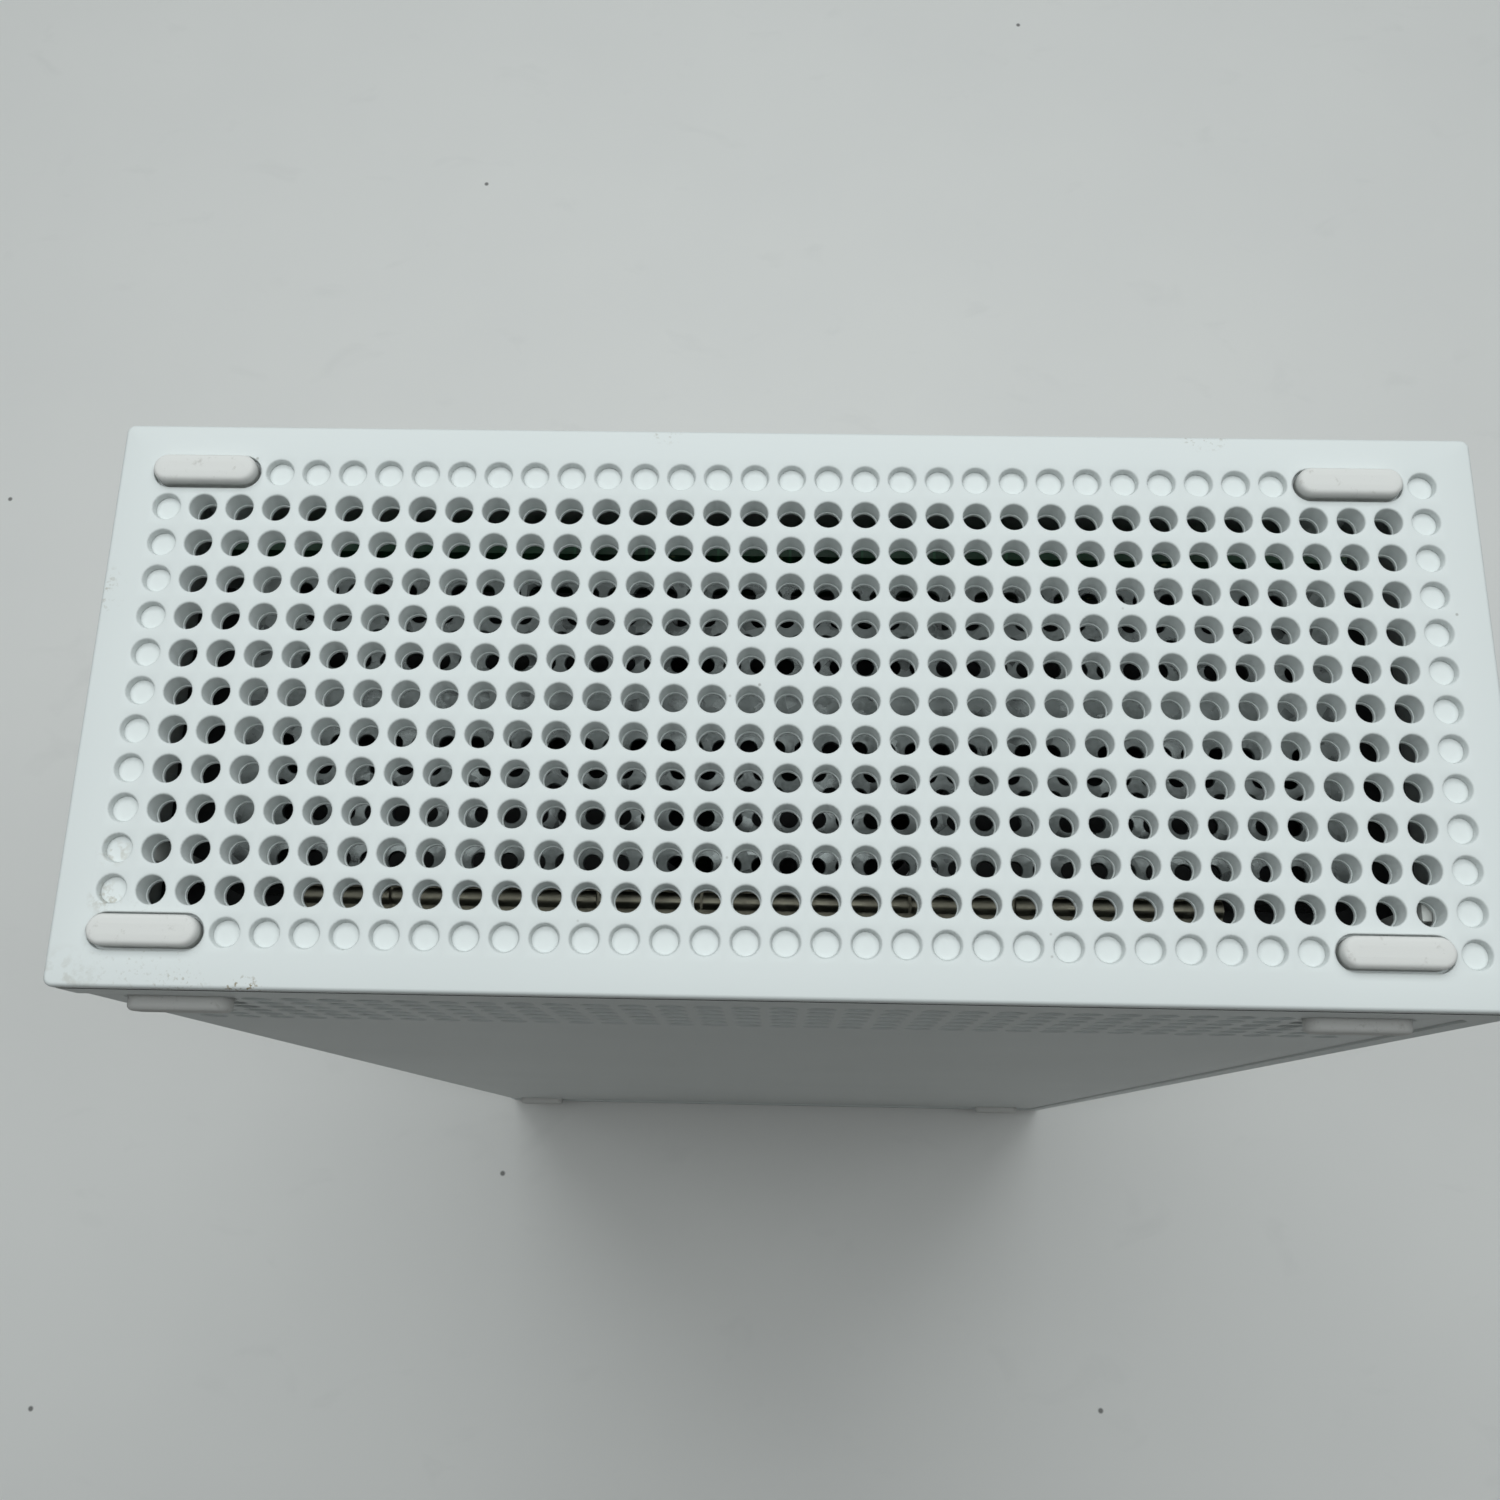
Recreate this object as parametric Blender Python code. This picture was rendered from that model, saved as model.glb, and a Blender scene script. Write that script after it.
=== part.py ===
"""Wireless router in a slab-shaped tower case, as an assembly of separate pieces.

The tower stands on the feet of its plain end at z = 0 and its vented end faces up. The wide
cover faces -Y, the socket side faces -X and the button side faces +X. All sizes are in
millimetres and are turned to metres when a mesh is made.
"""

import math

import bmesh
import bpy
from mathutils import Matrix, Vector

MM = 0.001

# ---- Case: overall size and walls ----
CASE_WIDTH = 151.0
CASE_DEPTH = 63.4
CASE_HEIGHT = 280.0
WALL = 2.4
LID_RIM = 1.6
LID_THICKNESS = 3.0
END_BORDER = 6.3
SIDE_BORDER = 3.6
COVER_CORNER_RADIUS = 3.0
HOOK_LENGTH = 12.0
HOOK_ROOT = 4.0
HOOK_THICKNESS = 1.6
HOOK_COUNT = 3
CORNER_STEPS = 4
SMOOTH_ANGLE = math.radians(35)

# ---- Clearances ----
GAP = 0.3
BORE_CLEARANCE = 0.35
OVERLAP = 0.5

# ---- Vent pattern on the lid ----
HOLE_DIAMETER = 3.05
COLUMN_PITCH = 4.1
ROW_PITCH = 4.32
VENT_MARGIN = 5.6
HOLE_SIDES = 6

# ---- Rubber feet ----
FOOT_WIDTH = 3.3
FOOT_COLUMNS = 3
FOOT_PROUD = 1.3
FOOT_SINK = 1.0
FOOT_EDGE = 0.5
SIDE_FOOT_INSET = 11.4
OBLONG_STEPS = 4

# ---- Screws: head radius, head height, shank radius, shank length ----
LID_SCREW = (1.5, 1.0, 0.8, 7.0)
BOARD_SCREW = (2.6, 1.6, 1.25, 7.0)
FAN_SCREW = (2.6, 1.6, 1.25, 10.0)
SCREW_SIDES = 10
BOSS_WALL = 1.6
BOSS_WEB = 3.2

# ---- Main board ----
BOARD_THICKNESS = 1.6
BOARD_STANDOFF = 7.7
BOARD_EDGE_SOCKETS = 9.5
BOARD_EDGE_BUTTONS = 11.5
BOARD_LOW = 12.0
BOARD_DEPTH_BELOW_LID = 8.0
BOARD_SCREW_INSET = 6.0

# ---- Parts on the board ----
CHIP_SIZE = 24.0
CHIP_HEIGHT = 1.8
PAD_SIZE = 22.0
PAD_HEIGHT = 0.8
SINK_LENGTH = 60.0
SINK_WIDTH = 58.0
SINK_BASE = 3.5
SINK_FIN_HEIGHT = 20.0
SINK_FINS = 9
SINK_FIN_THICKNESS = 1.6
SINK_X = 14.0
CAN_LENGTH = 34.0
CAN_WIDTH = 46.0
CAN_HEIGHT = 4.5
CAN_WALL = 0.6
BOARD_FIRST_CAN = 10.0
BOARD_PART_SPACING = 6.0
ANTENNA_SPAN = 26.0
ANTENNA_HEIGHT = 9.0
ANTENNA_STRIP = 2.4
ANTENNA_THICKNESS = 0.6
ANTENNA_EDGE = 3.0
ANTENNA_INSET = 18.0
ANTENNA_FEED = 7.2

# ---- Socket side ----
JACK_WIDTH = 16.0
JACK_HEIGHT = 13.5
JACK_DEPTH = 18.0
JACK_WALL = 1.6
JACK_OPENING_HEIGHT = 7.6
LATCH_SLOT_WIDTH = 6.0
LATCH_SLOT_HEIGHT = 2.4
JACK_SPACING = 0.7
LAN_COUNT = 4
USB_WIDTH = 14.4
USB_HEIGHT = 7.4
USB_WALL = 1.0
USB_DEPTH = 14.0
POWER_WIDTH = 11.0
POWER_HEIGHT = 11.5
POWER_DEPTH = 14.0
POWER_BORE_RADIUS = 3.2
POWER_PIN_RADIUS = 1.0
POWER_BORE_DEPTH = 9.5
SOCKET_FIRST = 58.0
SOCKET_SPACING = 5.0
PANEL_MARGIN = 3.0
PANEL_FLANGE = 1.5
PANEL_FLANGE_THICKNESS = 1.0
EXHAUST_SLOTS = 6
EXHAUST_PITCH = 5.0
EXHAUST_SLOT = 2.2
EXHAUST_FIRST = 15.0
EXHAUST_LENGTH = 42.0

# ---- Buttons and light ----
BUTTON_TRAVEL = 1.0
BUTTON_RECESS = 0.2
BUTTON_FLANGE = 1.3
BUTTON_FLANGE_THICKNESS = 1.2
BUTTON_STEM_RADIUS = 1.6
BUTTON_DROP = 6.0
BUTTON_CHAMFER = 0.5
POWER_BUTTON_RADIUS = 6.0
POWER_BUTTON_HEIGHT = 30.0
PAIRING_BUTTON_RADIUS = 3.2
PAIRING_BUTTON_HEIGHT = 60.0
LIGHT_RADIUS = 1.6
LIGHT_HEIGHT = 46.0
LED_SIZE = 3.5
RESET_RADIUS = 1.1
RESET_TRAVEL = 0.8
RESET_RECESS = 0.6
SWITCH_SIZE = 7.0
SWITCH_DEPTH = 4.5
SWITCH_HEIGHT = 9.0
SWITCH_PLUNGER = 1.4

# ---- Cooling ----
FAN_SIZE = 40.0
FAN_THICKNESS = 15.0
FAN_RIM = 1.0
FAN_SCREW_INSET = 4.0
FAN_HOLDER_RADIUS = 9.0
FAN_HOLDER_THICKNESS = 1.4
FAN_STRUT = 2.6
ROTOR_HUB_RADIUS = 9.5
ROTOR_BLADES = 7
ROTOR_CHORD = 12.0
ROTOR_ROOT_SINK = 1.0
ROTOR_BLADE_THICKNESS = 1.1
ROTOR_TIP_CLEARANCE = 0.6
ROTOR_ROOT_PITCH = math.radians(50)
ROTOR_TIP_PITCH = math.radians(35)
BAFFLE_BELOW_LID = 19.3
BAFFLE_THICKNESS = 1.2
BAFFLE_LEDGE = 3.0
BAFFLE_LEDGE_LENGTH = 24.0
SHIELD_BELOW_LID = 10.0
SHIELD_LENGTH = 127.0
SHIELD_SPAN = 36.3
SHIELD_OFFSET = -0.45
SHIELD_SHEET = 0.8
SHIELD_LEG = 26.0
SHIELD_SLOTS = 14
SHIELD_SLOT_WIDTH = 5.6
SHIELD_SLOT_PITCH = 8.6
SHIELD_BAR = 4.0
SHIELD_EDGE = 2.6
ROUND_SIDES = 28

# ---- Places that follow from the sizes above ----
HALF_WIDTH = CASE_WIDTH / 2
HALF_DEPTH = CASE_DEPTH / 2
INNER_X = HALF_WIDTH - WALL
INNER_Y = HALF_DEPTH - WALL
SHELL_TOP = CASE_HEIGHT - LID_RIM - GAP
LID_UNDERSIDE = CASE_HEIGHT - LID_THICKNESS
COVER_HIGH = CASE_HEIGHT - END_BORDER
COVER_LOW = END_BORDER
BOARD_BACK = INNER_Y - BOARD_STANDOFF
BOARD_FACE = BOARD_BACK - BOARD_THICKNESS
MOUNT_FACE = BOARD_FACE - GAP
BOARD_TOP = CASE_HEIGHT - BOARD_DEPTH_BELOW_LID
BOARD_X_LOW = -HALF_WIDTH + BOARD_EDGE_SOCKETS
BOARD_X_HIGH = HALF_WIDTH - BOARD_EDGE_BUTTONS
BAFFLE_TOP = CASE_HEIGHT - BAFFLE_BELOW_LID
BAFFLE_UNDERSIDE = BAFFLE_TOP - BAFFLE_THICKNESS
FAN_TOP = BAFFLE_UNDERSIDE - GAP
FAN_LOW = FAN_TOP - FAN_THICKNESS
FAN_Y = MOUNT_FACE - GAP - FAN_SIZE / 2
BUTTON_Y = MOUNT_FACE - BUTTON_DROP
VENT_COLUMNS = int((CASE_WIDTH - 2 * VENT_MARGIN) / COLUMN_PITCH) + 1
VENT_ROWS = int((CASE_DEPTH - 2 * VENT_MARGIN) / ROW_PITCH) + 1
FOOT_LENGTH = (FOOT_COLUMNS - 1) * COLUMN_PITCH + FOOT_WIDTH
CASE_SHIFT = Vector((0, FOOT_PROUD / 2, FOOT_PROUD))

MATERIALS = {
    "white_shell": ((0.66, 0.70, 0.71), 0.45, 0.0),
    "foot_rubber": ((0.56, 0.55, 0.53), 0.80, 0.0),
    "dark_panel": ((0.05, 0.05, 0.055), 0.50, 0.0),
    "button_plastic": ((0.60, 0.63, 0.64), 0.40, 0.0),
    "clear_lens": ((0.80, 0.84, 0.86), 0.10, 0.0),
    "socket_plastic": ((0.03, 0.03, 0.032), 0.45, 0.0),
    "nickel": ((0.55, 0.54, 0.51), 0.30, 1.0),
    "board_green": ((0.02, 0.10, 0.05), 0.45, 0.0),
    "chip_black": ((0.02, 0.02, 0.022), 0.40, 0.0),
    "pad_grey": ((0.30, 0.32, 0.36), 0.90, 0.0),
    "aluminium": ((0.62, 0.63, 0.64), 0.35, 1.0),
    "galvanised": ((0.34, 0.35, 0.35), 0.42, 1.0),
    "fan_black": ((0.015, 0.015, 0.016), 0.50, 0.0),
    "screw_steel": ((0.40, 0.40, 0.41), 0.30, 1.0),
}


def clear_scene():
    """Remove everything that the file already holds."""
    for thing in list(bpy.data.objects):
        bpy.data.objects.remove(thing, do_unlink=True)


def make_material(name):
    """Return the Principled material of that name, made on first use."""
    found = bpy.data.materials.get(name)
    if found:
        return found
    colour, roughness, metallic = MATERIALS[name]
    material = bpy.data.materials.new(name)
    material.use_nodes = True
    shader = material.node_tree.nodes["Principled BSDF"]
    shader.inputs["Base Color"].default_value = (*colour, 1.0)
    shader.inputs["Roughness"].default_value = roughness
    shader.inputs["Metallic"].default_value = metallic
    material.diffuse_color = (*colour, 1.0)
    return material


# ---- Outlines: lists of points in the two directions across a prism's axis ----


def rectangle(low_a, high_a, low_b, high_b):
    """Corners of a rectangle, anticlockwise."""
    return [(low_a, low_b), (high_a, low_b), (high_a, high_b), (low_a, high_b)]


def rounded_high_side(low_a, high_a, low_b, high_b, radius):
    """Rectangle whose two corners on the high_a side are rounded."""
    points = [(low_a, low_b)]
    corners = ((low_b + radius, -90), (high_b - radius, 0))
    for centre_b, start in corners:
        for step in range(CORNER_STEPS + 1):
            angle = math.radians(start + 90 * step / CORNER_STEPS)
            points.append((high_a - radius + radius * math.cos(angle), centre_b + radius * math.sin(angle)))
    points.append((low_a, high_b))
    return points


def circle(centre_a, centre_b, radius, sides):
    """Regular polygon around a centre, its first corner turned half a step."""
    turn = math.pi / sides
    return [
        (
            centre_a + radius * math.cos(turn + math.tau * step / sides),
            centre_b + radius * math.sin(turn + math.tau * step / sides),
        )
        for step in range(sides)
    ]


def oblong(centre_a, centre_b, length, width):
    """Slot outline with round ends, long in the first direction."""
    radius = width / 2
    reach = length / 2 - radius
    points = []
    for side, start in ((1, -90), (-1, 90)):
        for step in range(OBLONG_STEPS + 1):
            angle = math.radians(start + 180 * step / OBLONG_STEPS)
            points.append(
                (centre_a + side * reach + radius * math.cos(angle), centre_b + radius * math.sin(angle))
            )
    return points


def place(point, level, axis):
    """Point of an outline at a level along X, Y or Z, in case coordinates."""
    first, second = point
    return {
        "X": (level, first, second),
        "Y": (first, level, second),
        "Z": (first, second, level),
    }[axis]


class Shape:
    """Closed bodies collected in one mesh, in case coordinates."""

    def __init__(self):
        self.mesh = bmesh.new()

    def loft(self, rings):
        """Skin a row of rings that have equal numbers of points, and cap both ends."""
        made = [[self.mesh.verts.new(Vector(point) * MM) for point in ring] for ring in rings]
        count = len(made[0])
        faces = [self.mesh.faces.new(made[0]), self.mesh.faces.new(made[-1])]
        for lower, upper in zip(made, made[1:]):
            for index in range(count):
                after = (index + 1) % count
                faces.append(self.mesh.faces.new((lower[index], lower[after], upper[after], upper[index])))
        bmesh.ops.recalc_face_normals(self.mesh, faces=faces)
        return self

    def levels(self, axis, steps):
        """Skin outlines that are given as (outline, level) along one axis."""
        return self.loft([[place(point, level, axis) for point in outline] for outline, level in steps])

    def prism(self, axis, outline, low, high):
        """Straight extrusion of an outline along one axis."""
        return self.levels(axis, [(outline, low), (outline, high)])

    def block(self, low, high):
        """Rectangular block between two corners."""
        return self.prism("Z", rectangle(low[0], high[0], low[1], high[1]), low[2], high[2])

    def turned(self, axis, centre, profile, sides):
        """Round piece along an axis, from (radius, level) pairs."""
        return self.levels(axis, [(circle(*centre, radius, sides), level) for radius, level in profile])

    def build(self, name, material, smooth=False, origin=(0, 0, 0)):
        """Make the object for a node, its origin moved to a point of the case frame."""
        bmesh.ops.translate(self.mesh, verts=self.mesh.verts, vec=-Vector(origin) * MM)
        data = bpy.data.meshes.new(name)
        self.mesh.to_mesh(data)
        self.mesh.free()
        if smooth:
            data.shade_smooth()
            data.set_sharp_from_angle(angle=SMOOTH_ANGLE)
        thing = bpy.data.objects.new(name, data)
        thing.location = Vector(origin) * MM
        thing.parent = bpy.data.objects["case_centre"]
        bpy.context.scene.collection.objects.link(thing)
        if material:
            data.materials.append(make_material(material))
        return thing


def combine(target, shape, operation):
    """Give the target a Boolean with the shape, which stays hidden."""
    tool = shape.build(f"{target.name}_tool_{len(target.modifiers)}", None)
    tool.hide_render = True
    tool.display_type = "WIRE"
    modifier = target.modifiers.new(operation.lower(), "BOOLEAN")
    modifier.operation = operation
    modifier.solver = "EXACT"
    modifier.object = tool


def cut(target, shape):
    """Take the shape away from the target."""
    combine(target, shape, "DIFFERENCE")


def weld(target, shape):
    """Add the shape to the target."""
    combine(target, shape, "UNION")


# ---- Vent pattern ----


def column_x(column):
    """X of a vent column, counted from the socket side."""
    return (column - (VENT_COLUMNS - 1) / 2) * COLUMN_PITCH


def row_y(row):
    """Y of a vent row, counted from the wide cover."""
    return (row - (VENT_ROWS - 1) / 2) * ROW_PITCH


def foot_columns():
    """X of the middle of each foot: the left one takes the outermost columns, the right one leaves one."""
    half = FOOT_COLUMNS // 2
    return column_x(half), column_x(VENT_COLUMNS - 2 - half)


def end_foot_places():
    """Middles of the four feet on the lid, and of the four under the plain end, as (x, y)."""
    return [(x, y) for y in (row_y(0), row_y(VENT_ROWS - 1)) for x in foot_columns()]


def side_foot_places():
    """Middles of the four feet on the wide cover, as (x, z)."""
    heights = (CASE_HEIGHT - SIDE_FOOT_INSET, SIDE_FOOT_INSET)
    return [(x, z) for z in heights for x in foot_columns()]


# ---- Case ----


def lid_screw_seat():
    """Level on which the head of a lid screw rests, with its gap."""
    head_height = LID_SCREW[1]
    return CASE_HEIGHT - FOOT_SINK - head_height - GAP


def make_lid():
    """Vented lid: a rim flush with the case sides and a deeper middle that drops into the shell."""
    rim = rectangle(-HALF_WIDTH, HALF_WIDTH, -HALF_DEPTH, HALF_DEPTH)
    plug_x = INNER_X - GAP
    plug_y = INNER_Y - GAP
    plug = rectangle(-plug_x, plug_x, -plug_y, plug_y)
    step = CASE_HEIGHT - LID_RIM
    shape = Shape().levels("Z", [(plug, LID_UNDERSIDE), (plug, step), (rim, step), (rim, CASE_HEIGHT)])
    lid = shape.build("vent_lid", "white_shell")
    vents = Shape()
    for column in range(1, VENT_COLUMNS - 1):
        for row in range(1, VENT_ROWS - 1):
            hole = circle(column_x(column), row_y(row), HOLE_DIAMETER / 2, HOLE_SIDES)
            vents.prism("Z", hole, LID_UNDERSIDE - OVERLAP, CASE_HEIGHT + OVERLAP)
    cut(lid, vents)
    seats = Shape()
    passages = Shape()
    head_radius, _, shank_radius, _ = LID_SCREW
    for x, y in end_foot_places():
        recess = oblong(x, y, FOOT_LENGTH + 2 * GAP, FOOT_WIDTH + 2 * GAP)
        seats.prism("Z", recess, CASE_HEIGHT - FOOT_SINK, CASE_HEIGHT + OVERLAP)
        counterbore = head_radius + BORE_CLEARANCE
        floor = lid_screw_seat() - GAP
        passages.turned(
            "Z",
            (x, y),
            [
                (shank_radius + BORE_CLEARANCE, LID_UNDERSIDE - OVERLAP),
                (shank_radius + BORE_CLEARANCE, floor),
                (counterbore, floor),
                (counterbore, CASE_HEIGHT - FOOT_SINK + OVERLAP),
            ],
            SCREW_SIDES,
        )
    cut(lid, seats)
    cut(lid, passages)


def cover_openings(gap):
    """Outlines of the cover on the wide side (x, z) and on the socket side (y, z)."""
    wide = (HALF_WIDTH - SIDE_BORDER - gap, COVER_LOW + gap, COVER_HIGH - gap, COVER_CORNER_RADIUS)
    side = (HALF_DEPTH - SIDE_BORDER - gap, COVER_LOW + gap, COVER_HIGH - gap, COVER_CORNER_RADIUS)
    return wide, side


def lid_bosses(shell):
    """Posts under the lid's screws, tied to the shell's walls by webs."""
    posts = Shape()
    webs = Shape()
    bores = Shape()
    _, _, shank_radius, shank_length = LID_SCREW
    bore = shank_radius + BORE_CLEARANCE
    radius = bore + BOSS_WALL
    top = LID_UNDERSIDE - GAP
    depth = shank_length + 2 * GAP
    for x, y in end_foot_places():
        side = 1 if y > 0 else -1
        posts.turned("Z", (x, y), [(radius, top - depth - BOSS_WALL), (radius, top)], SCREW_SIDES)
        wall_y = side * (INNER_Y + OVERLAP)
        web_low = COVER_HIGH + OVERLAP
        webs.block(
            (x - BOSS_WEB / 2, min(y, wall_y), web_low),
            (x + BOSS_WEB / 2, max(y, wall_y), top - OVERLAP),
        )
        bores.turned("Z", (x, y), [(bore, top - depth), (bore, top + OVERLAP)], SCREW_SIDES)
    weld(shell, webs)
    weld(shell, posts)
    cut(shell, bores)


def board_screw_places():
    """Middles of the board's four screws, as (x, z)."""
    xs = (BOARD_X_LOW + BOARD_SCREW_INSET, BOARD_X_HIGH - BOARD_SCREW_INSET)
    zs = (BOARD_LOW + BOARD_SCREW_INSET, FAN_LOW - BOARD_SCREW_INSET)
    return [(x, z) for z in zs for x in xs]


def board_bosses(shell):
    """Posts on the shell's wide wall that carry the main board."""
    posts = Shape()
    bores = Shape()
    bore = BOARD_SCREW[2] + BORE_CLEARANCE
    radius = bore + BOSS_WALL
    seat = BOARD_BACK + GAP
    for place_xz in board_screw_places():
        posts.turned("Y", place_xz, [(radius, seat), (radius, INNER_Y + OVERLAP)], SCREW_SIDES)
        bores.turned("Y", place_xz, [(bore, seat - OVERLAP), (bore, INNER_Y - OVERLAP)], SCREW_SIDES)
    weld(shell, posts)
    cut(shell, bores)


def make_shell():
    """Main shell: back wall, button side, plain end and a border all around."""
    shape = Shape().block((-HALF_WIDTH, -HALF_DEPTH, 0), (HALF_WIDTH, HALF_DEPTH, SHELL_TOP))
    shell = shape.build("main_shell", "white_shell")
    cut(shell, Shape().block((-INNER_X, -INNER_Y, WALL), (INNER_X, INNER_Y, SHELL_TOP + OVERLAP)))
    wide, side = cover_openings(0)
    wide_outline = rounded_high_side(-HALF_WIDTH - OVERLAP, *wide)
    side_outline = rounded_high_side(-HALF_DEPTH - OVERLAP, *side)
    cut(shell, Shape().prism("Y", wide_outline, -HALF_DEPTH - OVERLAP, -INNER_Y + OVERLAP))
    cut(shell, Shape().prism("X", side_outline, -HALF_WIDTH - OVERLAP, -INNER_X + OVERLAP))
    holes = Shape()
    for radius, height in button_side_holes():
        bore = radius + BORE_CLEARANCE
        span = [(bore, INNER_X - OVERLAP), (bore, HALF_WIDTH + OVERLAP)]
        holes.turned("X", (BUTTON_Y, height), span, ROUND_SIDES)
    cut(shell, holes)
    ledge = Shape()
    ledge_top = BAFFLE_UNDERSIDE - GAP
    ledge.block(
        (INNER_X - BAFFLE_LEDGE, -BAFFLE_LEDGE_LENGTH / 2, ledge_top - BAFFLE_LEDGE),
        (INNER_X + OVERLAP, BAFFLE_LEDGE_LENGTH / 2, ledge_top),
    )
    weld(shell, ledge)
    board_bosses(shell)
    lid_bosses(shell)
    seats = Shape()
    for place_xy in end_foot_places():
        recess = oblong(*place_xy, FOOT_LENGTH + 2 * GAP, FOOT_WIDTH + 2 * GAP)
        seats.prism("Z", recess, -OVERLAP, FOOT_SINK)
    cut(shell, seats)


def make_cover():
    """Wide cover: the -Y wall and the socket side in one bent piece."""
    wide, side = cover_openings(GAP)
    wide_outline = rounded_high_side(-HALF_WIDTH, *wide)
    side_outline = rounded_high_side(-HALF_DEPTH, *side)
    cover = Shape().prism("Y", wide_outline, -HALF_DEPTH, -INNER_Y).build("wide_cover", "white_shell")
    weld(cover, Shape().prism("X", side_outline, -HALF_WIDTH, -INNER_X))
    hooks = Shape()
    edge = wide[0]
    under = -INNER_Y + GAP
    reach = INNER_X - GAP
    hook = [
        (edge - HOOK_ROOT, -INNER_Y - OVERLAP),
        (edge - OVERLAP, -INNER_Y - OVERLAP),
        (edge - OVERLAP, under),
        (reach, under),
        (reach, under + HOOK_THICKNESS),
        (edge - HOOK_ROOT, under + HOOK_THICKNESS),
    ]
    for index in range(HOOK_COUNT):
        middle = COVER_LOW + (COVER_HIGH - COVER_LOW) * (index + 1) / (HOOK_COUNT + 1)
        hooks.prism("Z", hook, middle - HOOK_LENGTH / 2, middle + HOOK_LENGTH / 2)
    weld(cover, hooks)
    ledge = Shape()
    ledge_top = BAFFLE_UNDERSIDE - GAP
    ledge.block(
        (-INNER_X - OVERLAP, -BAFFLE_LEDGE_LENGTH / 2, ledge_top - BAFFLE_LEDGE),
        (-INNER_X + BAFFLE_LEDGE, BAFFLE_LEDGE_LENGTH / 2, ledge_top),
    )
    weld(cover, ledge)
    seats = Shape()
    for x, z in side_foot_places():
        recess = oblong(x, z, FOOT_LENGTH + 2 * GAP, FOOT_WIDTH + 2 * GAP)
        seats.prism("Y", recess, -HALF_DEPTH - OVERLAP, -HALF_DEPTH + FOOT_SINK)
    cut(cover, seats)
    windows = Shape()
    panel_low, panel_high = panel_size()
    windows.block(
        (-HALF_WIDTH - OVERLAP, panel_low[0] - GAP, panel_low[1] - GAP),
        (-INNER_X + OVERLAP, panel_high[0] + GAP, panel_high[1] + GAP),
    )
    for index in range(EXHAUST_SLOTS):
        low = EXHAUST_FIRST + index * EXHAUST_PITCH
        windows.block(
            (-HALF_WIDTH - OVERLAP, -EXHAUST_LENGTH / 2, low),
            (-INNER_X + OVERLAP, EXHAUST_LENGTH / 2, low + EXHAUST_SLOT),
        )
    cut(cover, windows)


# ---- Feet ----


def make_foot(name, axis, centre, face, direction):
    """Rubber foot in its recess, standing proud of a face that looks along plus or minus the axis."""
    full = oblong(*centre, FOOT_LENGTH, FOOT_WIDTH)
    crown = oblong(*centre, FOOT_LENGTH - 2 * FOOT_EDGE, FOOT_WIDTH - 2 * FOOT_EDGE)
    steps = [
        (full, face - direction * (FOOT_SINK - GAP)),
        (full, face + direction * (FOOT_PROUD - FOOT_EDGE)),
        (crown, face + direction * FOOT_PROUD),
    ]
    Shape().levels(axis, steps).build(name, "foot_rubber", smooth=True)


def make_feet():
    """Four rubber feet on the lid, four under the plain end and four on the wide cover."""
    for number, place_xy in enumerate(end_foot_places(), 1):
        make_foot(f"end_foot_{number}", "Z", place_xy, CASE_HEIGHT, 1)
        make_foot(f"base_foot_{number}", "Z", place_xy, 0, -1)
    for number, place_xz in enumerate(side_foot_places(), 1):
        make_foot(f"side_foot_{number}", "Y", place_xz, -HALF_DEPTH, -1)


# ---- Screws ----


def make_screw(name, screw, axis, centre, seat, direction):
    """Screw whose head rests on a seat level and points along plus or minus the axis."""
    head_radius, head_height, shank_radius, shank_length = screw
    profile = [
        (shank_radius, seat - direction * shank_length),
        (shank_radius, seat),
        (head_radius, seat),
        (head_radius, seat + direction * head_height),
    ]
    Shape().turned(axis, centre, profile, SCREW_SIDES).build(name, "screw_steel", smooth=True)


def make_screws():
    """Screws of the lid, the board and the fan."""
    for number, place_xy in enumerate(end_foot_places(), 1):
        make_screw(f"lid_screw_{number}", LID_SCREW, "Z", place_xy, lid_screw_seat(), 1)
    for number, place_xz in enumerate(board_screw_places(), 1):
        make_screw(f"board_screw_{number}", BOARD_SCREW, "Y", place_xz, MOUNT_FACE, -1)
    for number, place_xy in enumerate(fan_screw_places(), 1):
        make_screw(f"fan_screw_{number}", FAN_SCREW, "Z", place_xy, BAFFLE_TOP + GAP, 1)


# ---- Board ----


def make_board():
    """Main board with the holes for its screws."""
    low = (BOARD_X_LOW, BOARD_FACE, BOARD_LOW)
    high = (BOARD_X_HIGH, BOARD_BACK, BOARD_TOP)
    board = Shape().block(low, high).build("main_board", "board_green")
    holes = Shape()
    radius = BOARD_SCREW[2] + BORE_CLEARANCE
    for place_xz in board_screw_places():
        holes.turned(
            "Y", place_xz, [(radius, BOARD_FACE - OVERLAP), (radius, BOARD_BACK + OVERLAP)], SCREW_SIDES
        )
    cut(board, holes)


def sink_low():
    """Lowest level of the heat sink, above the first radio can."""
    return BOARD_LOW + BOARD_FIRST_CAN + CAN_LENGTH + BOARD_PART_SPACING


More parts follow.
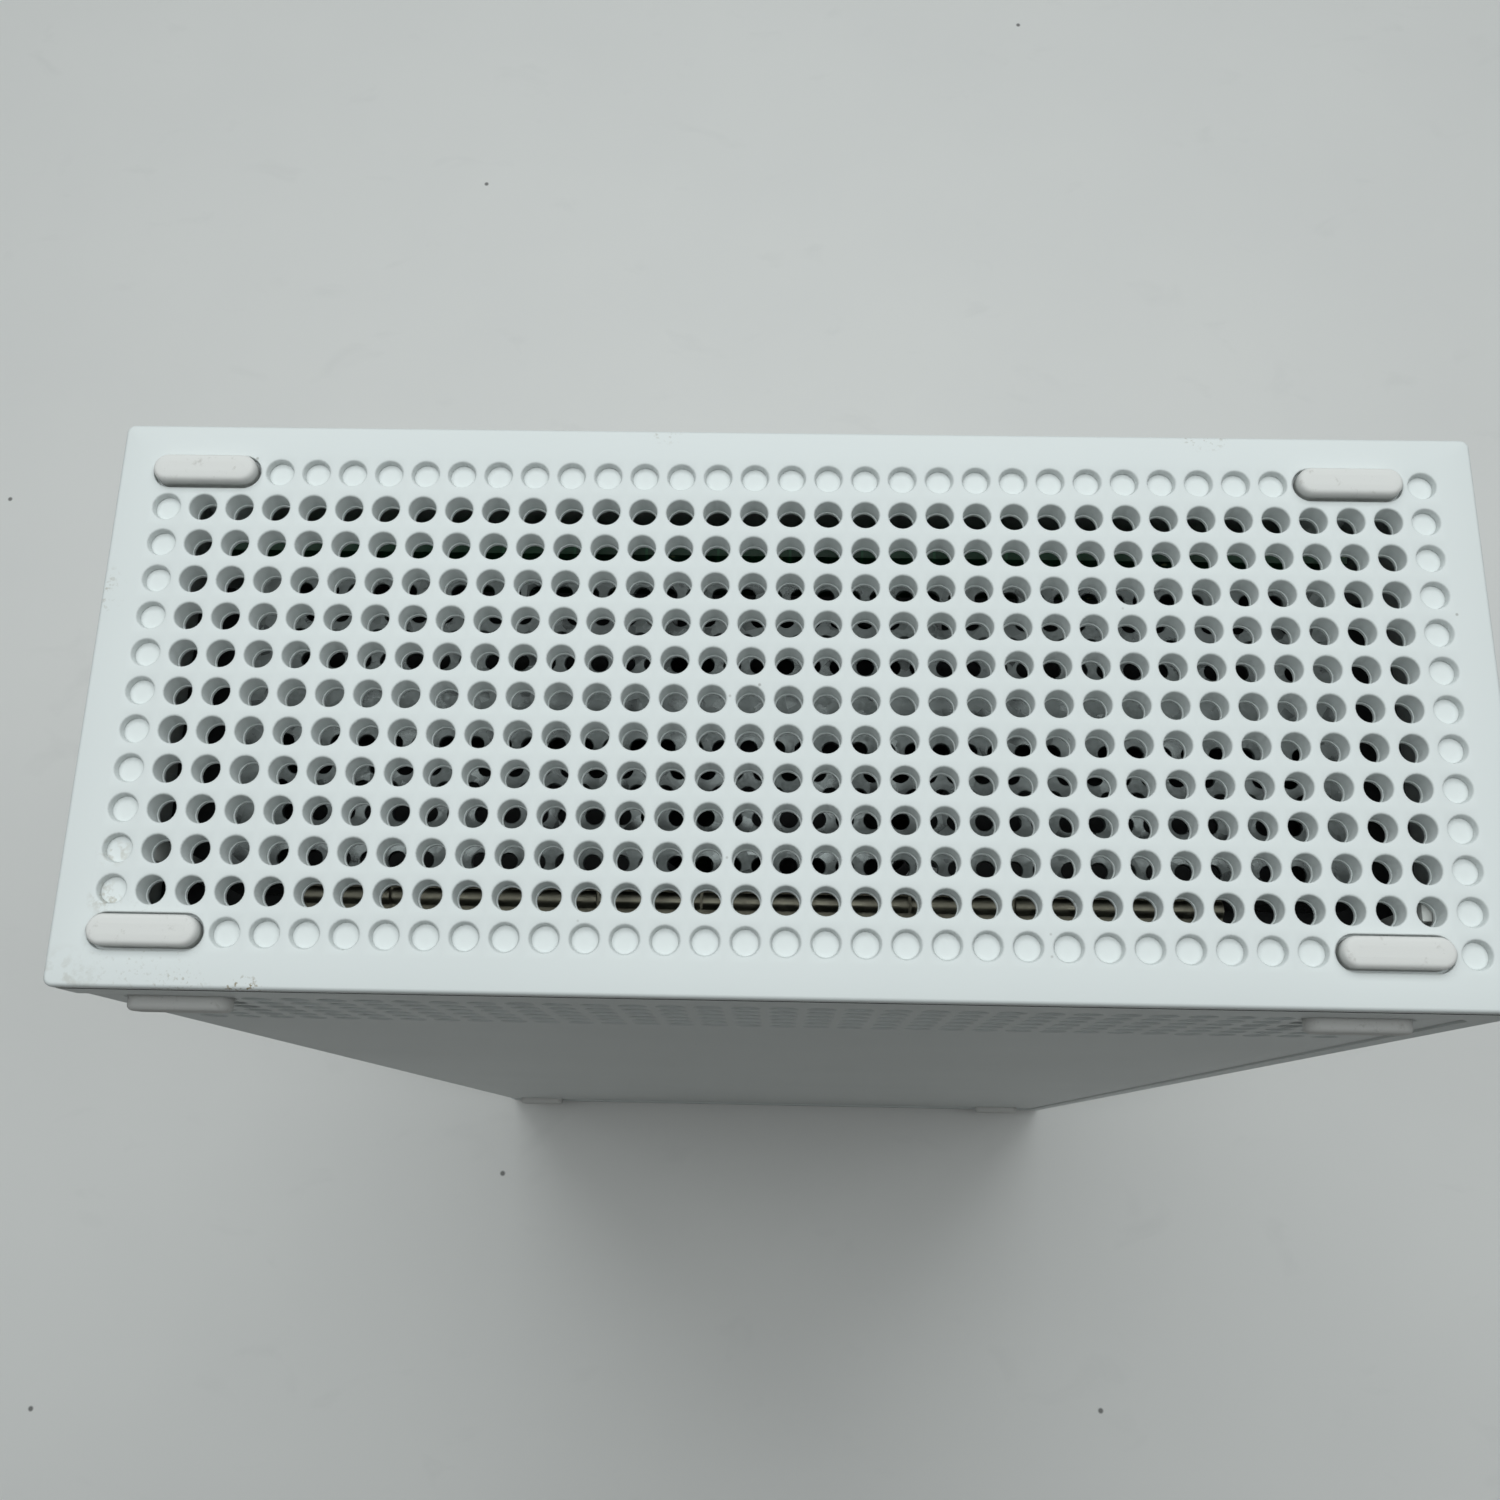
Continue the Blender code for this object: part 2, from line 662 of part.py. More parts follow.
def make_processor():
    """Processor, thermal pad and finned heat sink, stacked towards the wide cover."""
    middle = sink_low() + SINK_LENGTH / 2
    chip_front = MOUNT_FACE - CHIP_HEIGHT
    pad_back = chip_front - GAP
    pad_front = pad_back - PAD_HEIGHT
    sink_back = pad_front - GAP
    half = CHIP_SIZE / 2
    low, high = (SINK_X - half, chip_front, middle - half), (SINK_X + half, MOUNT_FACE, middle + half)
    Shape().block(low, high).build("processor", "chip_black")
    half = PAD_SIZE / 2
    low, high = (SINK_X - half, pad_front, middle - half), (SINK_X + half, pad_back, middle + half)
    Shape().block(low, high).build("thermal_pad", "pad_grey")
    fin_top = sink_back - SINK_BASE - SINK_FIN_HEIGHT
    base_front = sink_back - SINK_BASE
    pitch = (SINK_WIDTH - SINK_FIN_THICKNESS) / (SINK_FINS - 1)
    left = SINK_X - SINK_WIDTH / 2
    outline = [(left, sink_back)]
    for index in range(SINK_FINS):
        fin = left + index * pitch
        outline += [(fin, fin_top), (fin + SINK_FIN_THICKNESS, fin_top)]
        if index < SINK_FINS - 1:
            outline += [(fin + SINK_FIN_THICKNESS, base_front), (fin + pitch, base_front)]
    outline.append((left + SINK_WIDTH, sink_back))
    sink = Shape().prism("Z", outline, sink_low(), sink_low() + SINK_LENGTH)
    sink.build("heat_sink", "aluminium")


def make_radio_cans():
    """Two open-backed metal cans over the radio sections, below and above the heat sink."""
    lows = (BOARD_LOW + BOARD_FIRST_CAN, sink_low() + SINK_LENGTH + BOARD_PART_SPACING)
    for number, low_z in enumerate(lows, 1):
        low = Vector((SINK_X - CAN_WIDTH / 2, MOUNT_FACE - CAN_HEIGHT, low_z))
        high = Vector((SINK_X + CAN_WIDTH / 2, MOUNT_FACE, low_z + CAN_LENGTH))
        can = Shape().block(low, high).build(f"radio_can_{number}", "nickel")
        wall = Vector((CAN_WALL, CAN_WALL, CAN_WALL))
        inner_high = high - wall
        inner_high.y = MOUNT_FACE + OVERLAP
        cut(can, Shape().block(low + wall, inner_high))


def make_antennas():
    """Four stamped aerials: a bar on two legs, standing on the board near its edges."""
    side_x = BOARD_X_HIGH - ANTENNA_EDGE
    can_high = sink_low() + SINK_LENGTH + BOARD_PART_SPACING + CAN_LENGTH
    places = (
        ("X", BOARD_X_LOW + ANTENNA_INSET, BOARD_LOW + ANTENNA_EDGE),
        ("X", BOARD_X_HIGH - ANTENNA_INSET - ANTENNA_SPAN, BOARD_LOW + ANTENNA_EDGE),
        ("Z", sink_low() + ANTENNA_EDGE, side_x),
        ("Z", can_high - ANTENNA_SPAN, side_x),
    )
    top = MOUNT_FACE - ANTENNA_HEIGHT
    for number, (run, start, across) in enumerate(places, 1):
        end = start + ANTENNA_SPAN
        second = start + ANTENNA_FEED
        outline = [
            (start, MOUNT_FACE),
            (start, top),
            (end, top),
            (end, top + ANTENNA_STRIP),
            (second + ANTENNA_STRIP, top + ANTENNA_STRIP),
            (second + ANTENNA_STRIP, MOUNT_FACE),
            (second, MOUNT_FACE),
            (second, top + ANTENNA_STRIP),
            (start + ANTENNA_STRIP, top + ANTENNA_STRIP),
            (start + ANTENNA_STRIP, MOUNT_FACE),
        ]
        low, high = across, across + ANTENNA_THICKNESS
        if run == "X":
            rings = [[(a, b, level) for a, b in outline] for level in (low, high)]
        else:
            rings = [[(level, b, a) for a, b in outline] for level in (low, high)]
        Shape().loft(rings).build(f"antenna_{number}", "nickel")


# ---- Socket side ----


def socket_places():
    """Middle height of each socket, stacked upwards along the socket side."""
    heights = {"reset": SOCKET_FIRST}
    heights["usb"] = heights["reset"] + SWITCH_SIZE / 2 + SOCKET_SPACING + USB_WIDTH / 2
    first_lan = heights["usb"] + USB_WIDTH / 2 + SOCKET_SPACING + JACK_WIDTH / 2
    for number in range(LAN_COUNT):
        heights[f"lan_{number + 1}"] = first_lan + number * (JACK_WIDTH + JACK_SPACING)
    heights["wan"] = heights[f"lan_{LAN_COUNT}"] + JACK_WIDTH + SOCKET_SPACING
    heights["power"] = heights["wan"] + JACK_WIDTH / 2 + SOCKET_SPACING + POWER_WIDTH / 2
    return heights


def panel_size():
    """Low and high corner of the socket panel's face, as (y, z)."""
    heights = socket_places()
    low = (MOUNT_FACE - JACK_HEIGHT - PANEL_MARGIN, heights["reset"] - SWITCH_SIZE / 2 - PANEL_MARGIN)
    high = (MOUNT_FACE + PANEL_MARGIN, heights["power"] + POWER_WIDTH / 2 + PANEL_MARGIN)
    return low, high


def make_panel():
    """Socket panel: a plate flush with the cover and a flange behind it."""
    low, high = panel_size()
    plate = Shape().block((-HALF_WIDTH, *low), (-INNER_X, *high))
    panel = plate.build("socket_panel", "dark_panel")
    flange_low = (-INNER_X - OVERLAP, low[0], low[1])
    flange_high = (-INNER_X + GAP + OVERLAP, high[0], high[1])
    weld(panel, Shape().block(flange_low, flange_high))
    lip_low = (-INNER_X + GAP, low[0] - PANEL_FLANGE, low[1] - PANEL_FLANGE)
    lip_high = (-INNER_X + GAP + PANEL_FLANGE_THICKNESS, high[0] + PANEL_FLANGE, high[1] + PANEL_FLANGE)
    weld(panel, Shape().block(lip_low, lip_high))
    openings = Shape()
    x_low = -HALF_WIDTH - OVERLAP
    x_high = -INNER_X + GAP + PANEL_FLANGE_THICKNESS + OVERLAP
    heights = socket_places()
    groups = (("usb", "usb"), ("lan_1", f"lan_{LAN_COUNT}"), ("wan", "wan"), ("power", "power"))
    for first, last in groups:
        width, tall = socket_face(first)
        openings.block(
            (x_low, MOUNT_FACE - tall - GAP, heights[first] - width / 2 - GAP),
            (x_high, MOUNT_FACE + GAP, heights[last] + width / 2 + GAP),
        )
    cut(panel, openings)
    bore = RESET_RADIUS + BORE_CLEARANCE
    centre = (BUTTON_Y, heights["reset"])
    cut(panel, Shape().turned("X", centre, [(bore, x_low), (bore, x_high)], SCREW_SIDES))


def socket_face(key):
    """Width along Z and height above the board of a socket's front."""
    if key == "usb":
        return USB_WIDTH, USB_HEIGHT
    if key == "power":
        return POWER_WIDTH, POWER_HEIGHT
    return JACK_WIDTH, JACK_HEIGHT


def make_network_socket(name, height):
    """Network socket: a shell with an open front and a slot for the plug's latch."""
    front = -HALF_WIDTH
    low = (front, MOUNT_FACE - JACK_HEIGHT, height - JACK_WIDTH / 2)
    high = (front + JACK_DEPTH, MOUNT_FACE, height + JACK_WIDTH / 2)
    socket = Shape().block(low, high).build(name, "socket_plastic")
    half = JACK_WIDTH / 2 - JACK_WALL
    floor = MOUNT_FACE - JACK_WALL
    back = front + JACK_DEPTH - JACK_WALL
    step = floor - JACK_OPENING_HEIGHT
    latch = LATCH_SLOT_WIDTH / 2
    outline = [
        (floor, height - half),
        (floor, height + half),
        (step, height + half),
        (step, height + latch),
        (step - LATCH_SLOT_HEIGHT, height + latch),
        (step - LATCH_SLOT_HEIGHT, height - latch),
        (step, height - latch),
        (step, height - half),
    ]
    cut(socket, Shape().prism("X", outline, front - OVERLAP, back))


def make_sockets():
    """Sockets for the uplink, the wired devices, storage and power."""
    heights = socket_places()
    make_network_socket("wan_socket", heights["wan"])
    for number in range(1, LAN_COUNT + 1):
        make_network_socket(f"lan_socket_{number}", heights[f"lan_{number}"])
    front = -HALF_WIDTH
    low = Vector((front, MOUNT_FACE - USB_HEIGHT, heights["usb"] - USB_WIDTH / 2))
    high = Vector((front + USB_DEPTH, MOUNT_FACE, heights["usb"] + USB_WIDTH / 2))
    usb = Shape().block(low, high).build("usb_socket", "nickel")
    wall = Vector((OVERLAP, -USB_WALL, -USB_WALL))
    cut(usb, Shape().block(low - wall, high + Vector((-USB_WALL, -USB_WALL, -USB_WALL))))
    low = (front, MOUNT_FACE - POWER_HEIGHT, heights["power"] - POWER_WIDTH / 2)
    high = (front + POWER_DEPTH, MOUNT_FACE, heights["power"] + POWER_WIDTH / 2)
    power = Shape().block(low, high).build("power_socket", "socket_plastic")
    centre = (MOUNT_FACE - POWER_HEIGHT / 2, heights["power"])
    floor = front + POWER_BORE_DEPTH
    bore = [(POWER_BORE_RADIUS, front - OVERLAP), (POWER_BORE_RADIUS, floor)]
    cut(power, Shape().turned("X", centre, bore, ROUND_SIDES // 2))
    pin = [(POWER_PIN_RADIUS, front + GAP), (POWER_PIN_RADIUS, floor + OVERLAP)]
    weld(power, Shape().turned("X", centre, pin, SCREW_SIDES))


# ---- Buttons, switches and light ----


def button_side_holes():
    """Radius and height of each hole in the button side."""
    return (
        (POWER_BUTTON_RADIUS, POWER_BUTTON_HEIGHT),
        (PAIRING_BUTTON_RADIUS, PAIRING_BUTTON_HEIGHT),
        (LIGHT_RADIUS, LIGHT_HEIGHT),
    )


def make_switch(name, face, height, direction):
    """Side-pressed switch on the board, its plunger facing plus or minus X."""
    back = face - direction * SWITCH_DEPTH
    low = (min(face, back), MOUNT_FACE - SWITCH_HEIGHT, height - SWITCH_SIZE / 2)
    high = (max(face, back), MOUNT_FACE, height + SWITCH_SIZE / 2)
    switch = Shape().block(low, high).build(name, "chip_black")
    tip = face + direction * SWITCH_PLUNGER
    root = face - direction * OVERLAP
    plunger = [(BUTTON_STEM_RADIUS, root), (BUTTON_STEM_RADIUS, tip)]
    weld(switch, Shape().turned("X", (BUTTON_Y, height), plunger, SCREW_SIDES))


def make_button(name, radius, height):
    """Round button in the button side, held from behind by its flange."""
    front = HALF_WIDTH - BUTTON_RECESS
    flange_front = INNER_X - GAP
    flange_back = flange_front - BUTTON_FLANGE_THICKNESS
    stem_end = BOARD_X_HIGH + SWITCH_PLUNGER + GAP + BUTTON_TRAVEL
    profile = [
        (BUTTON_STEM_RADIUS, stem_end),
        (BUTTON_STEM_RADIUS, flange_back),
        (radius + BUTTON_FLANGE, flange_back),
        (radius + BUTTON_FLANGE, flange_front),
        (radius, flange_front),
        (radius, front - BUTTON_CHAMFER),
        (radius - BUTTON_CHAMFER, front),
    ]
    origin = (HALF_WIDTH, BUTTON_Y, height)
    Shape().turned("X", origin[1:], profile, ROUND_SIDES).build(name, "button_plastic", True, origin)


def make_buttons():
    """Power, pairing and reset buttons, their switches, and the status light."""
    make_button("power_button", POWER_BUTTON_RADIUS, POWER_BUTTON_HEIGHT)
    make_button("pairing_button", PAIRING_BUTTON_RADIUS, PAIRING_BUTTON_HEIGHT)
    make_switch("power_switch", BOARD_X_HIGH, POWER_BUTTON_HEIGHT, 1)
    make_switch("pairing_switch", BOARD_X_HIGH, PAIRING_BUTTON_HEIGHT, 1)
    reset_height = socket_places()["reset"]
    make_switch("reset_switch", BOARD_X_LOW, reset_height, -1)
    panel_back = -INNER_X + GAP + PANEL_FLANGE_THICKNESS
    flange = panel_back + GAP
    stem_end = BOARD_X_LOW - SWITCH_PLUNGER - GAP - RESET_TRAVEL
    profile = [
        (RESET_RADIUS, -HALF_WIDTH + RESET_RECESS),
        (RESET_RADIUS, flange),
        (RESET_RADIUS + BUTTON_FLANGE, flange),
        (RESET_RADIUS + BUTTON_FLANGE, flange + BUTTON_FLANGE_THICKNESS),
        (RESET_RADIUS, flange + BUTTON_FLANGE_THICKNESS),
        (RESET_RADIUS, stem_end),
    ]
    origin = (-HALF_WIDTH, BUTTON_Y, reset_height)
    Shape().turned("X", origin[1:], profile, SCREW_SIDES).build("reset_button", "fan_black", True, origin)
    light_back = BOARD_X_HIGH + GAP
    pipe = [
        (LIGHT_RADIUS, light_back),
        (LIGHT_RADIUS, INNER_X - GAP - BUTTON_FLANGE_THICKNESS),
        (LIGHT_RADIUS + BUTTON_FLANGE, INNER_X - GAP - BUTTON_FLANGE_THICKNESS),
        (LIGHT_RADIUS + BUTTON_FLANGE, INNER_X - GAP),
        (LIGHT_RADIUS, INNER_X - GAP),
        (LIGHT_RADIUS, HALF_WIDTH),
    ]
    Shape().turned("X", (BUTTON_Y, LIGHT_HEIGHT), pipe, SCREW_SIDES).build("light_pipe", "clear_lens", True)
    half = LED_SIZE / 2
    led = Shape().block(
        (BOARD_X_HIGH - SWITCH_DEPTH, MOUNT_FACE - SWITCH_HEIGHT, LIGHT_HEIGHT - half),
        (BOARD_X_HIGH, MOUNT_FACE, LIGHT_HEIGHT + half),
    )
    led.build("status_light", "clear_lens")


# ---- Cooling ----


def fan_screw_places():
    """Middles of the fan's four screws, as (x, y)."""
    half = FAN_SIZE / 2 - FAN_SCREW_INSET
    return [(x, FAN_Y + y) for y in (-half, half) for x in (-half, half)]


def make_baffle():
    """Sheet across the case that carries the fan and makes all the air pass through it."""
    low = (-INNER_X + GAP, -INNER_Y + GAP, BAFFLE_UNDERSIDE)
    high = (INNER_X - GAP, MOUNT_FACE, BAFFLE_TOP)
    baffle = Shape().block(low, high).build("fan_baffle", "galvanised")
    openings = Shape()
    bore = FAN_SIZE / 2 - FAN_RIM
    span = [(bore, BAFFLE_UNDERSIDE - OVERLAP), (bore, BAFFLE_TOP + OVERLAP)]
    openings.turned("Z", (0, FAN_Y), span, ROUND_SIDES)
    for place_xy in fan_screw_places():
        hole = FAN_SCREW[2] + BORE_CLEARANCE
        span = [(hole, BAFFLE_UNDERSIDE - OVERLAP), (hole, BAFFLE_TOP + OVERLAP)]
        openings.turned("Z", place_xy, span, SCREW_SIDES)
    cut(baffle, openings)


def make_fan():
    """Fan frame with its motor holder, and the rotor on its own axis."""
    half = FAN_SIZE / 2
    frame = Shape().block((-half, FAN_Y - half, FAN_LOW), (half, FAN_Y + half, FAN_TOP))
    frame = frame.build("fan_frame", "fan_black")
    bore = half - FAN_RIM
    cuts = Shape()
    cuts.turned("Z", (0, FAN_Y), [(bore, FAN_LOW - OVERLAP), (bore, FAN_TOP + OVERLAP)], ROUND_SIDES)
    for place_xy in fan_screw_places():
        hole = FAN_SCREW[2] + BORE_CLEARANCE
        cuts.turned("Z", place_xy, [(hole, FAN_LOW - OVERLAP), (hole, FAN_TOP + OVERLAP)], SCREW_SIDES)
    cut(frame, cuts)
    for across in ("X", "Y"):
        reach_x = bore + OVERLAP if across == "X" else FAN_STRUT / 2
        reach_y = bore + OVERLAP if across == "Y" else FAN_STRUT / 2
        strut = Shape().block(
            (-reach_x, FAN_Y - reach_y, FAN_LOW),
            (reach_x, FAN_Y + reach_y, FAN_LOW + FAN_HOLDER_THICKNESS - (GAP if across == "Y" else 0)),
        )
        weld(frame, strut)
    holder = [(FAN_HOLDER_RADIUS, FAN_LOW), (FAN_HOLDER_RADIUS, FAN_LOW + FAN_HOLDER_THICKNESS)]
    weld(frame, Shape().turned("Z", (0, FAN_Y), holder, ROUND_SIDES))
    make_rotor(bore)


def make_rotor(bore):
    """Fan rotor: a hub with pitched blades, turning about Z."""
    low = FAN_LOW + FAN_HOLDER_THICKNESS + GAP
    high = FAN_TOP - GAP
    middle = (low + high) / 2
    origin = (0, FAN_Y, middle)
    hub = Shape().turned("Z", (0, FAN_Y), [(ROTOR_HUB_RADIUS, low), (ROTOR_HUB_RADIUS, high)], ROUND_SIDES)
    rotor = hub.build("fan_rotor", "fan_black", True, origin)
    half_chord = ROTOR_CHORD / 2
    tip = math.sqrt((bore - ROTOR_TIP_CLEARANCE) ** 2 - (half_chord * math.cos(ROTOR_TIP_PITCH)) ** 2)
    blades = Shape()
    for blade in range(ROTOR_BLADES):
        turn = Matrix.Rotation(math.tau * blade / ROTOR_BLADES, 3, "Z")
        rings = []
        for radius, pitch in ((ROTOR_HUB_RADIUS - ROTOR_ROOT_SINK, ROTOR_ROOT_PITCH), (tip, ROTOR_TIP_PITCH)):
            chord = Vector((0, math.cos(pitch), math.sin(pitch))) * half_chord
            thick = Vector((0, -math.sin(pitch), math.cos(pitch))) * ROTOR_BLADE_THICKNESS / 2
            arm = Vector((radius, 0, 0))
            corners = (arm - chord - thick, arm + chord - thick, arm + chord + thick, arm - chord + thick)
            rings.append([turn @ corner + Vector(origin) for corner in corners])
        blades.loft(rings)
    weld(rotor, blades)


def make_vent_shield():
    """Slotted metal sheet on four legs between the lid and the fan."""
    top = CASE_HEIGHT - SHIELD_BELOW_LID
    half_x = SHIELD_LENGTH / 2
    half_y = SHIELD_SPAN / 2
    low_y, high_y = SHIELD_OFFSET - half_y, SHIELD_OFFSET + half_y
    sheet = Shape().block((-half_x, low_y, top - SHIELD_SHEET), (half_x, high_y, top))
    shield = sheet.build("vent_shield", "galvanised")
    slots = Shape()
    first = -(SHIELD_SLOTS - 1) * SHIELD_SLOT_PITCH / 2
    banks = (
        (low_y + SHIELD_EDGE, SHIELD_OFFSET - SHIELD_BAR / 2),
        (SHIELD_OFFSET + SHIELD_BAR / 2, high_y - SHIELD_EDGE),
    )
    for slot in range(SHIELD_SLOTS):
        middle = first + slot * SHIELD_SLOT_PITCH
        for bank_low, bank_high in banks:
            slots.block(
                (middle - SHIELD_SLOT_WIDTH / 2, bank_low, top - SHIELD_SHEET - OVERLAP),
                (middle + SHIELD_SLOT_WIDTH / 2, bank_high, top + OVERLAP),
            )
    cut(shield, slots)
    legs = Shape()
    for side in (-1, 1):
        start = side * (half_x - SHIELD_LEG / 2)
        for leg_y in (low_y, high_y - SHIELD_SHEET):
            legs.block(
                (start - SHIELD_LEG / 2, leg_y, BAFFLE_TOP + GAP),
                (start + SHIELD_LEG / 2, leg_y + SHIELD_SHEET, top - SHIELD_SHEET / 2),
            )
    weld(shield, legs)


def main():
    """Build every piece of the router."""
    clear_scene()
    centre = bpy.data.objects.new("case_centre", None)
    centre.location = CASE_SHIFT * MM
    bpy.context.scene.collection.objects.link(centre)
    make_lid()
    make_shell()
    make_cover()
    make_feet()
    make_screws()
    make_board()
    make_processor()
    make_radio_cans()
    make_antennas()
    make_panel()
    make_sockets()
    make_buttons()
    make_baffle()
    make_fan()
    make_vent_shield()


main()
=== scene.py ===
"""Looks of the slab-shaped tower router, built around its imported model.

Every length in the classes is in millimetres, measured from the middle of the case's plain
end. One helper turns them to metres when a mesh is made.
"""

import logging
import math
from dataclasses import dataclass, replace
from enum import Enum, IntEnum
from typing import Sequence

import bmesh
import bpy
from mathutils import Matrix, Vector


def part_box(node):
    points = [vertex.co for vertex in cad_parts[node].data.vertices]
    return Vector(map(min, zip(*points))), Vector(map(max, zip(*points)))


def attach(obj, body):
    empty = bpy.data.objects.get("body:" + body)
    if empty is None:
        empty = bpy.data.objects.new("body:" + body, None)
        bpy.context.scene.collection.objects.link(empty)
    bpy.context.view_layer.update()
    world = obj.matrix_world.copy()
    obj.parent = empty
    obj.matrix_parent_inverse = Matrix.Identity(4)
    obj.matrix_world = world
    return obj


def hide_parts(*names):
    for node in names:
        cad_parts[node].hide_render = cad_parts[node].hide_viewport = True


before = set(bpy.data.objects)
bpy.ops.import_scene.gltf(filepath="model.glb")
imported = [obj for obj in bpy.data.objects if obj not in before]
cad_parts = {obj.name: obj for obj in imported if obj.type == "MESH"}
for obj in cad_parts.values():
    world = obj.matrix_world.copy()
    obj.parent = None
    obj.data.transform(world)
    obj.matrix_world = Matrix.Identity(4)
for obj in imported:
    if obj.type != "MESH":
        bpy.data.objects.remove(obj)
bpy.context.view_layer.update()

log = logging.getLogger("router")

MM = 0.001
CORNER_STEPS = 6
Point = tuple[float, float, float]
Place = tuple[float, float]
Outline = list[Place]


def linear(hex_colour: str) -> tuple[float, float, float, float]:
    """Turn an sRGB hex colour to linear light.

    Args:
        hex_colour: Six hex digits, with or without a leading hash.

    Returns:
        Red, green and blue in linear light, and an alpha of one.
    """
    digits = hex_colour.lstrip("#")
    parts = [int(digits[i : i + 2], 16) / 255 for i in (0, 2, 4)]
    light = [c / 12.92 if c <= 0.04045 else ((c + 0.055) / 1.055) ** 2.4 for c in parts]
    return (light[0], light[1], light[2], 1.0)


# --------------------------------------------------------------------------- places


@dataclass(frozen=True)
class Case:
    """The case's own frame: where its plain end is, and how large it is."""

    origin: Vector
    half_x: float
    half_y: float
    height: float

    @classmethod
    def measure(cls) -> "Case":
        """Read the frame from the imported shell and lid.

        Returns:
            The case's frame, its origin in metres and its sizes in millimetres.
        """
        low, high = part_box("main_shell")
        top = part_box("vent_lid")[1].z
        middle = (low + high) / 2
        size = (high - low) / MM
        return cls(Vector((middle.x, middle.y, low.z)), size.x / 2, size.y / 2, (top - low.z) / MM)

    def world(self, point: Sequence[float]) -> Vector:
        """Turn a point in case millimetres to metres in the shared frame."""
        return self.origin + Vector(point) * MM

    def node(self, name: str) -> tuple[Vector, Vector]:
        """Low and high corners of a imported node, in case millimetres."""
        low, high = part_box(name)
        return (low - self.origin) / MM, (high - self.origin) / MM

    def middle(self, name: str) -> Vector:
        """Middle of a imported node's box, in case millimetres."""
        low, high = self.node(name)
        return (low + high) / 2


class Axis(Enum):
    """Direction that a prism or a turned piece runs in."""

    X = "X"
    Y = "Y"
    Z = "Z"

    def place(self, first: float, second: float, level: float) -> Point:
        """Point at a level along the axis, its other two coordinates given in order."""
        if self is Axis.X:
            return (level, first, second)
        if self is Axis.Y:
            return (first, level, second)
        return (first, second, level)


# --------------------------------------------------------------------------- outlines


def arc(centre: Place, radius: float, start: float, sweep: float, steps: int) -> Outline:
    """Points along an arc, both ends included.

    Args:
        centre: Middle of the arc.
        radius: Its radius.
        start: First angle, in degrees.
        sweep: Angle covered, in degrees.
        steps: Number of steps.

    Returns:
        The points in order.
    """
    angles = [math.radians(start + sweep * step / steps) for step in range(steps + 1)]
    return [(centre[0] + radius * math.cos(a), centre[1] + radius * math.sin(a)) for a in angles]


def circle(centre: Place, radius: float, sides: int) -> Outline:
    """Regular polygon round a centre, anticlockwise from its lower left."""
    return arc(centre, radius, 225.0, 360.0, sides)[:-1]


def rounded_box(low: Sequence[float], high: Sequence[float], radii: Sequence[float]) -> Outline:
    """Rectangle with a radius of its own at each corner.

    Args:
        low: Lowest two coordinates.
        high: Highest two coordinates.
        radii: Radii of the low-low, high-low, high-high and low-high corners.

    Returns:
        The outline, anticlockwise from the low-low corner.
    """
    corners = (
        (low[0] + radii[0], low[1] + radii[0], 180),
        (high[0] - radii[1], low[1] + radii[1], 270),
        (high[0] - radii[2], high[1] - radii[2], 0),
        (low[0] + radii[3], high[1] - radii[3], 90),
    )
    points: Outline = []
    for (x, y, start), radius in zip(corners, radii):
        points += arc((x, y), radius, start, 90, CORNER_STEPS) if radius > 0 else [(x, y)]
    return points


def stadium(centre: Place, length: float, width: float, ends: int = 12, sides: int = 12) -> Outline:
    """Outline with straight sides and round ends, long in the first direction.

    Args:
        centre: Middle of the outline.
        length: Whole length.
        width: Width, which is also the diameter of the ends.
        ends: Steps round each end, a multiple of four.
        sides: Steps along each straight side.

    Returns:
        The outline, anticlockwise from the middle of its lower left arc.
    """
    radius = width / 2
    reach = length / 2 - radius
    left, right = (centre[0] - reach, centre[1]), (centre[0] + reach, centre[1])
    quarter = ends // 4
    lower = [(left[0] + 2 * reach * i / sides, centre[1] - radius) for i in range(1, sides)]
    upper = [(right[0] - 2 * reach * i / sides, centre[1] + radius) for i in range(1, sides)]
    return (
        arc(left, radius, 225, 45, quarter)
        + lower
        + arc(right, radius, 270, 180, ends)
        + upper
        + arc(left, radius, 90, 135, ends - quarter)[:-1]
    )


def quarter_turns(points: Outline, turns: int) -> Outline:
    """Turn an outline anticlockwise about the middle, by a number of right angles."""
    for _ in range(turns):
        points = [(-y, x) for x, y in points]
    return points


def fillet(radius: float, steps: int) -> list[Place]:
    """Inset and drop of each ring over a rounded edge, from its face to its side.

    Args:
        radius: Radius of the edge.
        steps: Number of steps.

    Returns:
        Pairs of how far inside the side a ring lies, and how far below the face.
    """
    turns = [math.pi / 2 * step / steps for step in range(steps + 1)]
    return [(radius - radius * math.sin(t), radius - radius * math.cos(t)) for t in turns]


# --------------------------------------------------------------------------- meshes


